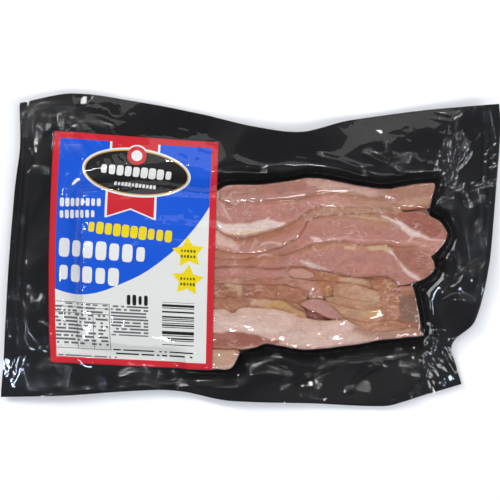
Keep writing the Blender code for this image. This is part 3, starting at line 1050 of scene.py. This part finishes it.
# Short folds of the clear film alone, over the label and the rashers.
FRONT_FOLDS = [
    ([(-121, 86), (-112, 75), (-105, 64)], 1.1, 0.6),
    ([(-116, 88), (-106, 76), (-98, 68)], 1.1, 0.5),
    ([(-124, 80), (-117, 70), (-112, 60)], 1.0, 0.5),
    ([(-112, 63), (-115, 28), (-110, 15), (-105, 6)], 1.1, 0.5),
    ([(-105, 22), (-103, 4), (-100, -4)], 1.0, 0.4),
    ([(-112, -9), (-109, -21)], 1.0, 0.4),
    ([(-79, -6), (-76, -20)], 1.0, 0.35),
    ([(-118, -24), (-120, -48), (-116, -62)], 1.1, 0.5),
    ([(-110, -66), (-92, -72), (-70, -70)], 1.1, 0.5),
    ([(-60, -66), (-44, -73), (-30, -70)], 1.1, 0.5),
    ([(-23, 1.5), (-18, 5.5)], 1.0, 0.5),
    ([(-6.6, -2.4), (-6.2, -9)], 1.0, 0.5),
    ([(37, 30.5), (44, 25.5)], 1.0, 0.4),
    ([(40.5, -4.5), (43.5, -8.5)], 1.0, 0.5),
    ([(48.5, -14), (53, -10.5)], 1.0, 0.5),
    ([(8.5, -58), (14, -50.5)], 1.0, 0.5),
]


# Fans of fine wrinkles that run out from the pile's corners: centre, first and last direction in
# degrees, reach, height.
FANS = [
    (-124, 93, -88, -14, 52, 1.0),
    (111, 27, 14, 84, 66, 1.0),
    (103, -54, -86, 10, 46, 0.3),
    (-112, -62, 190, 292, 38, 0.6),
]


def fan(x, y, cx, cy, first, last, reach, height, seed):
    """How high one fan of wrinkles stands, in mm."""
    r = np.hypot(x - cx, y - cy)
    middle = math.radians((first + last) / 2)
    half = math.radians((last - first) / 2)
    turn = np.arctan2(y - cy, x - cx) - middle
    turn = (turn + math.pi) % (2 * math.pi) - math.pi
    inside = 1 - smooth(half * 0.75, half, np.abs(turn))
    spokes = noise(turn * 9, r / 34, 1.0, seed=seed, octaves=2)
    ridge = np.exp(-((spokes * 4.5) ** 2))
    fade = smooth(3.0, 12.0, r) * (1 - smooth(reach * 0.6, reach, r))
    return height * ridge * inside * fade


def front_extra(x, y):
    """Small tight wrinkles that only the clear film has."""
    warp = 3 * noise(x, y, 14, seed=80, octaves=2)
    ridge = 1 - np.abs(noise(x + warp, y + warp, 9, seed=81, octaves=2)) * 5.0
    gate = smooth(0.15, 0.7, noise(x, y, 21, seed=82))
    total = 0.2 * np.clip(ridge, 0, 1) * gate
    over_label = smooth(-60, -108, x) * smooth(0.0, 0.5, noise(x, y, 26, seed=83))
    total = total + over_label * 0.25 * (1 + facets(x, y, 6.5, 84))
    for n, one in enumerate(FANS):
        total = total + fan(x, y, *one, seed=85 + n)
    free = smooth(7.0, 14.0, sample(beyond, x, y))
    upright = smooth(118, 132, x) + smooth(-128, -140, x)
    lines = np.exp(-((noise((x + 0.12 * y) / 4.5, y / 46, 1.0, seed=95) * 5) ** 2))
    total = total + 0.4 * upright * free * lines * smooth(-0.2, 0.4, noise(x, y, 30, seed=96))
    level = (1 - upright) * smooth(46, 58, np.abs(y + 8))
    lines = np.exp(-((noise((y + 0.2 * x) / 6, x / 50, 1.0, seed=97) * 5) ** 2))
    patches = smooth(0.0, 0.5, noise(x, y, 34, seed=98))
    total = total + 0.3 * np.clip(level, 0, 1) * free * lines * patches
    for points, half, height in FRONT_FOLDS:
        d, t = near(x, y, points, 16)
        ends = smooth(0, 0.3, t) * (1 - smooth(0.7, 1, t))
        total = total + height * ends * np.exp(-((d / (half * 0.7)) ** 2))
    return total


# ---------------------------------------------------------------- meshes and materials

px, py = pouch_plan(60, 40)
SHIFT = np.array([-(px.min() + px.max()) / 2, -(py.min() + py.max()) / 2, 0.0])


def mesh_piece(name, verts, faces, material, tones=None):
    data = bpy.data.meshes.new(name)
    data.from_pydata(((np.asarray(verts) + SHIFT) * MM).tolist(), [], faces)
    data.update()
    if tones is not None:
        layer = data.color_attributes.new("tone", "FLOAT_COLOR", "POINT")
        rgba = np.ones((len(verts), 4), np.float32)
        rgba[:, :3] = np.clip(tones, 0, 1)
        layer.data.foreach_set("color", rgba.ravel())
    data.shade_smooth()
    data.materials.append(material)
    obj = bpy.data.objects.new(name, data)
    bpy.context.scene.collection.objects.link(obj)
    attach(obj, "root")
    return obj


def new_material(name):
    made = bpy.data.materials.new(name)
    made.use_nodes = True
    return made, made.node_tree.nodes, made.node_tree.links


def add_node(nodes, kind, inputs=(), **settings):
    """A new shader node with its settings and the values of some inputs."""
    node = nodes.new("ShaderNode" + kind)
    for key, value in settings.items():
        setattr(node, key, value)
    for key, value in dict(inputs).items():
        node.inputs[key].default_value = value
    return node


def meat_material():
    made, nodes, links = new_material("cured_meat")
    shader = nodes["Principled BSDF"]
    shader.inputs["Roughness"].default_value = 0.5
    shader.inputs["Specular IOR Level"].default_value = 0.2
    tone = add_node(nodes, "Attribute", attribute_name="tone")
    place = add_node(nodes, "TexCoord")
    stretch = add_node(nodes, "Mapping", {"Scale": (0.45, 1.0, 1.0)})
    links.new(place.outputs["Object"], stretch.inputs["Vector"])
    grain = add_node(nodes, "TexNoise", {"Scale": 900.0, "Detail": 4.0})
    links.new(stretch.outputs["Vector"], grain.inputs["Vector"])
    strength = add_node(nodes, "MapRange", {"To Min": 0.74, "To Max": 1.26})
    links.new(grain.outputs["Fac"], strength.inputs["Value"])
    scaled = add_node(nodes, "VectorMath", operation="SCALE")
    links.new(tone.outputs["Color"], scaled.inputs[0])
    links.new(strength.outputs["Result"], scaled.inputs["Scale"])
    # Hair-thin threads of fat, in patches.
    threads = add_node(nodes, "TexNoise", {"Scale": 260.0, "Detail": 3.0, "Distortion": 0.8})
    links.new(stretch.outputs["Vector"], threads.inputs["Vector"])
    middle = add_node(nodes, "Math", {1: 0.5, 2: 0.016}, operation="COMPARE")
    links.new(threads.outputs["Fac"], middle.inputs[0])
    patches = add_node(nodes, "TexNoise", {"Scale": 75.0})
    links.new(place.outputs["Object"], patches.inputs["Vector"])
    where = add_node(nodes, "MapRange", {"From Min": 0.48, "From Max": 0.62, "To Max": 0.36})
    links.new(patches.outputs["Fac"], where.inputs["Value"])
    amount = add_node(nodes, "Math", operation="MULTIPLY")
    links.new(middle.outputs["Value"], amount.inputs[0])
    links.new(where.outputs["Result"], amount.inputs[1])
    veined = add_node(nodes, "Mix", data_type="RGBA")
    links.new(amount.outputs["Value"], veined.inputs["Factor"])
    links.new(scaled.outputs["Vector"], veined.inputs[6])
    veined.inputs[7].default_value = (*FAT, 1)
    links.new(veined.outputs[2], shader.inputs["Base Color"])
    bump = add_node(nodes, "Bump", {"Strength": 0.12, "Distance": 0.0003})
    links.new(grain.outputs["Fac"], bump.inputs["Height"])
    links.new(bump.outputs["Normal"], shader.inputs["Normal"])
    return made


def black_film_material():
    made, nodes, links = new_material("black_film")
    shader = nodes["Principled BSDF"]
    shader.inputs["Roughness"].default_value = 0.36
    shader.inputs["Specular IOR Level"].default_value = 0.14
    place = add_node(nodes, "TexCoord")
    cloud = add_node(nodes, "TexNoise", {"Scale": 60.0})
    links.new(place.outputs["Object"], cloud.inputs["Vector"])
    ramp = add_node(nodes, "ValToRGB")
    ramp.color_ramp.elements[0].color = (0.0055, 0.0055, 0.0062, 1)
    ramp.color_ramp.elements[1].color = (0.0085, 0.0083, 0.0088, 1)
    links.new(cloud.outputs["Fac"], ramp.inputs["Fac"])
    links.new(ramp.outputs["Color"], shader.inputs["Base Color"])
    return made


def clear_film_material():
    made, nodes, links = new_material("clear_film")
    nodes.remove(nodes["Principled BSDF"])
    output = nodes["Material Output"]
    clear = add_node(nodes, "BsdfTransparent", {"Color": (0.985, 0.985, 0.985, 1)})
    shine = add_node(nodes, "BsdfGlossy", {"Roughness": 0.04})
    # A film mirrors about 4 % straight on and more towards grazing (Schlick's formula).
    facing = add_node(nodes, "LayerWeight")
    steep = add_node(nodes, "Math", {1: 5.0}, operation="POWER")
    links.new(facing.outputs["Facing"], steep.inputs[0])
    fresnel = add_node(nodes, "Math", {1: 0.96, 2: 0.04}, operation="MULTIPLY_ADD")
    links.new(steep.outputs["Value"], fresnel.inputs[0])
    mix = add_node(nodes, "MixShader")
    links.new(fresnel.outputs["Value"], mix.inputs["Fac"])
    links.new(clear.outputs["BSDF"], mix.inputs[1])
    links.new(shine.outputs["BSDF"], mix.inputs[2])
    links.new(mix.outputs["Shader"], output.inputs["Surface"])
    return made


class Print:
    """Builds masks of simple shapes on the label, in mm from its top left corner."""

    def __init__(self, nodes, links):
        self.nodes, self.links = nodes, links
        uv = add_node(nodes, "UVMap", uv_map="print")
        size = add_node(nodes, "VectorMath", {1: (LABEL_W, LABEL_H, 0)}, operation="MULTIPLY")
        links.new(uv.outputs["UV"], size.inputs[0])
        self.place = size.outputs["Vector"]
        self.paint = None

    def fill(self, node, values):
        """Set or link a node's inputs in order."""
        for n, value in enumerate(values):
            if isinstance(value, (int, float, tuple)):
                node.inputs[n].default_value = value
            else:
                self.links.new(value, node.inputs[n])

    def vector(self, operation, *values):
        node = add_node(self.nodes, "VectorMath", operation=operation)
        self.fill(node, values)
        return node.outputs["Value"] if operation == "LENGTH" else node.outputs["Vector"]

    def number(self, operation, *values):
        node = add_node(self.nodes, "Math", operation=operation)
        self.fill(node, values)
        return node.outputs["Value"]

    def split(self, vector):
        node = add_node(self.nodes, "SeparateXYZ")
        self.links.new(vector, node.inputs[0])
        return node.outputs["X"], node.outputs["Y"]

    def local(self, centre, turn=0.0):
        moved = self.vector("SUBTRACT", self.place, (centre[0], centre[1], 0))
        if not turn:
            return moved
        angle = math.radians(turn)
        node = add_node(self.nodes, "VectorRotate", rotation_type="Z_AXIS")
        node.inputs["Angle"].default_value = angle
        self.links.new(moved, node.inputs["Vector"])
        return node.outputs["Vector"]

    def box(self, centre, half, turn=0.0):
        p = self.vector("ABSOLUTE", self.local(centre, turn))
        x, y = self.split(self.vector("SUBTRACT", p, (half[0], half[1], 0)))
        return self.number("LESS_THAN", self.number("MAXIMUM", x, y), 0.0)

    def ellipse(self, centre, radii, turn=0.0):
        p = self.vector("DIVIDE", self.local(centre, turn), (radii[0], radii[1], 1))
        return self.number("LESS_THAN", self.vector("LENGTH", p), 1.0)

    def star(self, centre, outer, inner, turn=0.0):
        x, y = self.split(self.local(centre, turn))
        angle = self.number("ARCTAN2", x, self.number("MULTIPLY", y, -1.0))
        fifth = 2 * math.pi / 5
        within = self.number("FLOORED_MODULO", self.number("ADD", angle, fifth / 2), fifth)
        folded = self.number("ABSOLUTE", self.number("SUBTRACT", within, fifth / 2))
        squares = self.number("ADD", self.number("MULTIPLY", x, x), self.number("MULTIPLY", y, y))
        r = self.number("SQRT", squares)
        fx = self.number("MULTIPLY", r, self.number("COSINE", folded))
        fy = self.number("MULTIPLY", r, self.number("SINE", folded))
        ix, iy = inner * math.cos(fifth / 2), inner * math.sin(fifth / 2)
        beyond_tip = self.number("MULTIPLY", self.number("SUBTRACT", fx, outer), iy)
        side = self.number("ADD", beyond_tip, self.number("MULTIPLY", fy, outer - ix))
        return self.number("LESS_THAN", side, 0.0)

    def blocks(self, centre, half, turn, pitch, share):
        """A row of upright rounded blocks of uneven size."""
        x, y = self.split(self.local(centre, turn))
        place = self.number("DIVIDE", self.number("ADD", x, half[0]), pitch)
        node = add_node(self.nodes, "TexWhiteNoise", noise_dimensions="1D")
        count = self.number("ADD", self.number("FLOOR", place), centre[1] * 3.7)
        self.links.new(count, node.inputs["W"])
        size = self.number("MULTIPLY_ADD", node.outputs["Value"], 0.3, 0.78)
        across = self.number("SUBTRACT", self.number("FRACT", place), 0.5)
        across = self.number("MULTIPLY", across, 2 / share)
        across = self.number("DIVIDE", across, size)
        down = self.number("DIVIDE", self.number("DIVIDE", y, half[1]), size)
        both = self.number("ADD", self.number("POWER", across, 4), self.number("POWER", down, 4))
        inside = self.number("LESS_THAN", both, 1.0)
        row = self.number("LESS_THAN", self.number("ABSOLUTE", x), half[0])
        return self.both(inside, row)

    def both(self, a, b):
        return self.number("MULTIPLY", a, b)

    def without(self, a, b):
        return self.number("MAXIMUM", self.number("SUBTRACT", a, b), 0.0)

    def over(self, mask, tint):
        """Paint a colour over what is there, where the mask is 1."""
        node = add_node(self.nodes, "Mix", data_type="RGBA")
        self.links.new(mask, node.inputs["Factor"])
        if self.paint is None:
            node.inputs["A"].default_value = (*PAPER, 1)
        else:
            self.links.new(self.paint, node.inputs[6])
        node.inputs[7].default_value = (*tint, 1)
        self.paint = node.outputs[2]

    def specks(self, width, height, share):
        """Blocks of about width by height mm with gaps, like lines of tiny print from afar."""
        cell = self.vector("DIVIDE", self.place, (width, height, 1))
        floor = self.vector("FLOOR", cell)
        node = add_node(self.nodes, "TexWhiteNoise", noise_dimensions="2D")
        self.links.new(floor, node.inputs["Vector"])
        chosen = self.number("LESS_THAN", node.outputs["Value"], share)
        _, y = self.split(self.vector("FRACTION", cell))
        return self.both(chosen, self.number("LESS_THAN", y, 0.55))


PAPER = tuple(colour(222, 222, 216))
INK_RED = tuple(colour(200, 34, 46))
INK_BLUE = tuple(colour(10, 84, 204))
INK_WHITE = tuple(colour(226, 226, 222))
INK_BLACK = tuple(colour(22, 20, 22))
INK_YELLOW = tuple(colour(232, 208, 8))
INK_GOLD = tuple(colour(190, 160, 90))
INK_OLIVE = tuple(colour(96, 92, 24))
INK_GREY = tuple(colour(96, 96, 98))
BORDER = 4.0


def label_material():
    made, nodes, links = new_material("label_print")
    shader = nodes["Principled BSDF"]
    shader.inputs["Roughness"].default_value = 0.45
    shader.inputs["Specular IOR Level"].default_value = 0.15
    p = Print(nodes, links)
    x, y = p.split(p.place)
    # The blue field's lower edge, as places along the width and mm down.
    wave = add_node(nodes, "FloatCurve")
    points = wave.mapping.curves[0].points
    course = [(0.0, 96.5), (0.2, 100.5), (0.48, 91), (0.68, 77.5), (0.86, 58), (1.0, 34)]
    points[0].location = (course[0][0], course[0][1] / LABEL_H)
    points[1].location = (course[-1][0], course[-1][1] / LABEL_H)
    for at, down in course[1:-1]:
        points.new(at, down / LABEL_H)
    wave.mapping.update()
    links.new(p.number("DIVIDE", x, LABEL_W), wave.inputs["Value"])
    edge = p.number("MULTIPLY", wave.outputs["Value"], LABEL_H)
    p.over(p.number("LESS_THAN", y, edge), INK_BLUE)
    # Ribbon with a swallowtail, hanging from the top behind the plain oval.
    middle = 50.4
    slant = p.number("MULTIPLY", p.number("ABSOLUTE", p.number("SUBTRACT", x, middle)), 0.38)
    tail = p.number("SUBTRACT", y, slant)
    for down, half_width, length, ink in ((26, 15.6, 46.5, INK_WHITE), (25, 14.2, 45.6, INK_RED)):
        strip = p.box((middle, down), (half_width, 26))
        p.over(p.both(strip, p.number("LESS_THAN", tail, length)), ink)
    # Plain oval with a small round medallion on its top edge.
    oval, medal = (52.1, 22.8), (51.8, 12.0)
    p.over(p.ellipse(oval, (33.6, 15.6), -3), INK_WHITE)
    p.over(p.ellipse(medal, (6.9, 6.9)), INK_WHITE)
    p.over(p.ellipse(oval, (32.4, 14.4), -3), INK_GOLD)
    p.over(p.ellipse(oval, (31.6, 13.6), -3), INK_BLACK)
    p.over(p.ellipse(medal, (5.9, 5.9)), INK_RED)
    p.over(p.ellipse(medal, (3.4, 3.4)), INK_WHITE)
    # Rounded blocks where the words are.
    # Centre, half size, turn, pitch and share of the pitch that a block takes.
    for row in (
        ((52, 22.4), (22.5, 3.3), -3, 5.0, 0.84, INK_WHITE),
        ((52, 31.0), (13, 1.3), -3, 2.2, 0.8, INK_WHITE),
        ((19, 43.4), (13.5, 2.6), 2, 3.4, 0.74, INK_WHITE),
        ((17.5, 50.8), (12, 2.6), 3, 3.4, 0.74, INK_WHITE),
        ((50.5, 60.0), (26, 3.9), -4, 5.2, 0.88, INK_YELLOW),
        ((33.5, 72.8), (28, 5.6), -2, 8.0, 0.8, INK_WHITE),
        ((25.2, 88.0), (20, 5.4), -2, 8.0, 0.8, INK_WHITE),
    ):
        p.over(p.blocks(*row[:-1]), row[-1])
    p.over(p.star((86.2, 71.0), 10.0, 5.2, 6), INK_YELLOW)
    p.over(p.star((86.0, 88.2), 10.0, 5.2, -4), INK_YELLOW)
    for down in (70.0, 73.4, 87.2, 90.6):
        p.over(p.blocks((86.1, down), (4.8, 0.9), 0, 1.9, 0.7), INK_OLIVE)
    p.over(p.blocks((55.7, 102.2), (7.0, 3.2), 0, 3.5, 0.66), INK_BLACK)
    # Table of figures, ruled in thin lines.
    table = (20.8, 120)
    p.over(p.without(p.box(table, (18, 14.6)), p.box(table, (17.6, 14.2))), INK_GREY)
    for down in (108.6, 112.2):
        p.over(p.box((20.8, down), (18, 0.2)), INK_GREY)
    for along in (18.0, 28.5):
        p.over(p.box((along, 123.0), (0.2, 11.4)), INK_GREY)
    p.over(p.both(p.box((20.8, 119.5), (16.8, 13.4)), p.specks(1.5, 2.25, 0.62)), INK_GREY)
    p.over(p.both(p.box((51.0, 115.2), (11.4, 9.6)), p.specks(1.7, 2.0, 0.80)), INK_GREY)
    # Bar code: stripes across, stacked down.
    stripe = add_node(nodes, "TexWhiteNoise", noise_dimensions="1D")
    links.new(p.number("FLOOR", p.number("MULTIPLY", y, 1.9)), stripe.inputs["W"])
    dark = p.number("LESS_THAN", stripe.outputs["Value"], 0.55)
    p.over(p.both(p.box((80.6, 116.4), (9.8, 14.0)), dark), INK_BLACK)
    p.over(p.both(p.box((65.0, 135.3), (25, 1.7)), p.specks(1.6, 3.4, 0.8)), INK_BLACK)
    p.over(p.both(p.box((24.0, 138.6), (19, 0.9)), p.specks(1.2, 1.8, 0.8)), INK_GREY)
    half = (LABEL_W / 2, LABEL_H / 2)
    inner = p.box(half, (half[0] - BORDER, half[1] - BORDER))
    p.over(p.number("SUBTRACT", 1.0, inner), INK_RED)
    links.new(p.paint, shader.inputs["Base Color"])
    return made


# ---------------------------------------------------------------- pieces

meat_finish = meat_material()
for piece in RASHERS:
    verts, faces = piece.mesh_data()
    tones = piece.colours(*[sample(d, piece.plan_x, piece.plan_y) for d in seam_distances])
    mesh_piece(piece.name, verts, faces, meat_finish, tones)


def rim_places(nt, ns):
    """Places round the edge of an nt by ns grid, in order."""
    rim = [(i, 0) for i in range(nt)] + [(nt - 1, j) for j in range(1, ns)]
    rim += [(i, ns - 1) for i in range(nt - 2, -1, -1)]
    return rim + [(0, j) for j in range(ns - 2, 0, -1)]


def make_core():
    """The rashers below the ones that show, as one block with layered sides."""
    foot, layers = 0.6, 9
    xs = np.linspace(-105.5, 98.0, 120)
    top, bottom = core_edges(xs)
    s = np.linspace(0, 1, 50)
    y = bottom[:, None] * (1 - s) + top[:, None] * s
    end = np.interp(y, [-50, -25, -14, 4, 18, 34], [99, 97, 104, 114, 112, 104])
    x = xs[0] + (xs[:, None] - xs[0]) * (end - xs[0]) / (xs[-1] - xs[0])
    z = np.minimum(crown(x, y) - 3.4, sample(film, x, y) - 1.0)
    rim = rim_places(len(xs), len(s))
    verts = list(np.stack([x, y, z], axis=2).reshape(-1, 3))
    tones = [RED] * len(verts)
    faces = grid_faces(len(xs), len(s))
    previous = [i * len(s) + j for i, j in rim]
    mx, my = x.mean(), y.mean()
    for n, depth in enumerate(np.linspace(0, 1, layers + 1)[1:]):
        ring = []
        bulge = 1.0 + 0.012 * math.sin(math.pi * depth) + (0.006 if n % 2 else 0.0) - 0.05 * depth**3
        for i, j in rim:
            height = z[i, j] * (1 - depth) + foot * depth
            place = [mx + (x[i, j] - mx) * bulge, my + (y[i, j] - my) * bulge, height]
            verts.append(np.array(place))
            tones.append(FAT if n % 3 == 1 else RED)
            ring.append(len(verts) - 1)
        for k in range(len(rim)):
            m = (k + 1) % len(rim)
            faces.append((previous[k], ring[k], ring[m], previous[m]))
        previous = ring
    faces.append(tuple(reversed(previous)))
    return mesh_piece("rashers_below", np.array(verts), faces, meat_finish, np.array(tones))


make_core()


def closed_sheet(x, y, top, bottom):
    """Vertices and faces of a thin closed sheet with a narrow edge."""
    nx, ny = x.shape
    verts = np.vstack([np.stack([x, y, z], 2).reshape(-1, 3) for z in (top, bottom)])
    upper = grid_faces(nx, ny)
    base = nx * ny
    lower = [tuple(base + k for k in reversed(f)) for f in upper]
    rim = [i * ny + j for i, j in rim_places(nx, ny)]
    side = []
    for k in range(len(rim)):
        a, b = rim[k], rim[(k + 1) % len(rim)]
        side.append((base + a, base + b, b, a))
    return verts, upper + lower + side


def creased(x, y):
    """The crumple, faded out over the meat."""
    return crumple(x, y) * smooth(0, 8, sample(beyond, x, y))


BACK_THICKNESS = 0.2
LABEL_THICKNESS = 0.2

# Back film
bx, by = pouch_plan(250, 160)
back_top = np.maximum(sample(ground, bx, by) + creased(bx, by), BACK_THICKNESS + 0.05)
verts, faces = closed_sheet(bx, by, back_top, back_top - BACK_THICKNESS)
back_film = mesh_piece("back_film", verts, faces, black_film_material())
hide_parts("pouch")

# Label
pp, qq = np.meshgrid(np.linspace(0, LABEL_W, 128), np.linspace(LABEL_H, 0, 181), indexing="ij")
lx, ly = label_plan(pp, qq)
lz = sample(paper_bed, lx, ly) + creased(lx, ly) + 0.05
verts, faces = closed_sheet(lx, ly, lz + LABEL_THICKNESS / 2, lz - LABEL_THICKNESS / 2)
label = mesh_piece("label", verts, faces, label_material())
layer = label.data.uv_layers.new(name="print")
flat_uv = np.stack([pp / LABEL_W, qq / LABEL_H], 2).reshape(-1, 2)
flat_uv = np.vstack([flat_uv, flat_uv])
loop_vertex = np.zeros(len(label.data.loops), np.int32)
label.data.loops.foreach_get("vertex_index", loop_vertex)
layer.data.foreach_set("uv", flat_uv[loop_vertex].astype(np.float32).ravel())
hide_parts("label")

# Front film
fx, fy = pouch_plan(384, 244)
fz = sample(film, fx, fy) + creased(fx, fy) + front_extra(fx, fy)
verts = np.stack([fx, fy, fz], 2).reshape(-1, 3)
front_film = mesh_piece("front_film", verts, grid_faces(*fx.shape), clear_film_material())
front_film.visible_shadow = False


# ---------------------------------------------------------------- stage, light and camera


def plain_material(name, tint, roughness):
    made, nodes, _ = new_material(name)
    nodes["Principled BSDF"].inputs["Base Color"].default_value = (*tint, 1)
    nodes["Principled BSDF"].inputs["Roughness"].default_value = roughness
    return made


bpy.ops.mesh.primitive_plane_add(size=4.0, location=(0, 0, 0))
floor = bpy.context.object
floor.name = "floor"
floor.data.materials.append(plain_material("pale_floor", (0.98, 0.98, 0.98), 0.9))


def soft_light(name, place, width, depth, power):
    data = bpy.data.lights.new(name, "AREA")
    data.shape = "RECTANGLE"
    data.size = width
    data.size_y = depth
    data.energy = power
    lamp = bpy.data.objects.new(name, data)
    lamp.location = place
    aim = Vector((0, 0, 0)) - Vector(place)
    lamp.rotation_euler = aim.to_track_quat("-Z", "Y").to_euler()
    lamp.visible_camera = False
    bpy.context.scene.collection.objects.link(lamp)
    return lamp


soft_light("key", (-1.1, 1.0, 1.15), 0.45, 0.45, 14.0)
soft_light("fill", (1.3, -0.6, 1.0), 0.6, 0.6, 10.5)
soft_light("panel", (0.1, 0.75, 1.5), 0.9, 0.5, 1.7)

# A ring of narrow windows, which the creases of the films mirror.
SKY = (0.7, 0.8, 1.0)
WHITE = (1.0, 1.0, 1.0)
TINTS = [SKY, WHITE, WHITE, WHITE, WHITE, SKY, SKY, WHITE, WHITE, SKY]
RING_RADIUS, RING_HEIGHT, RING_START = 0.84, 1.24, 0.32
WINDOW_WIDTH, WINDOW_DEPTH, WINDOW_POWER = 0.22, 0.05, 1.5
for n, tint in enumerate(TINTS):
    angle = 2 * math.pi * (n + RING_START) / len(TINTS)
    spot = (RING_RADIUS * math.cos(angle), RING_RADIUS * math.sin(angle), RING_HEIGHT)
    window = soft_light(f"window_{n}", spot, WINDOW_WIDTH, WINDOW_DEPTH, WINDOW_POWER)
    window.data.color = tint

world = bpy.data.worlds.new("room")
world.use_nodes = True
backdrop = world.node_tree.nodes["Background"]
backdrop.inputs["Color"].default_value = (0.9, 0.94, 1.0, 1)
backdrop.inputs["Strength"].default_value = 0.11
bpy.context.scene.world = world

camera_data = bpy.data.cameras.new("camera")
camera_data.lens = 85
camera_data.sensor_width = 36
camera = bpy.data.objects.new("camera", camera_data)
camera.location = (0, 0, VIEW_HEIGHT * MM)
bpy.context.scene.collection.objects.link(camera)
bpy.context.scene.camera = camera
bpy.context.scene.view_settings.view_transform = "Standard"
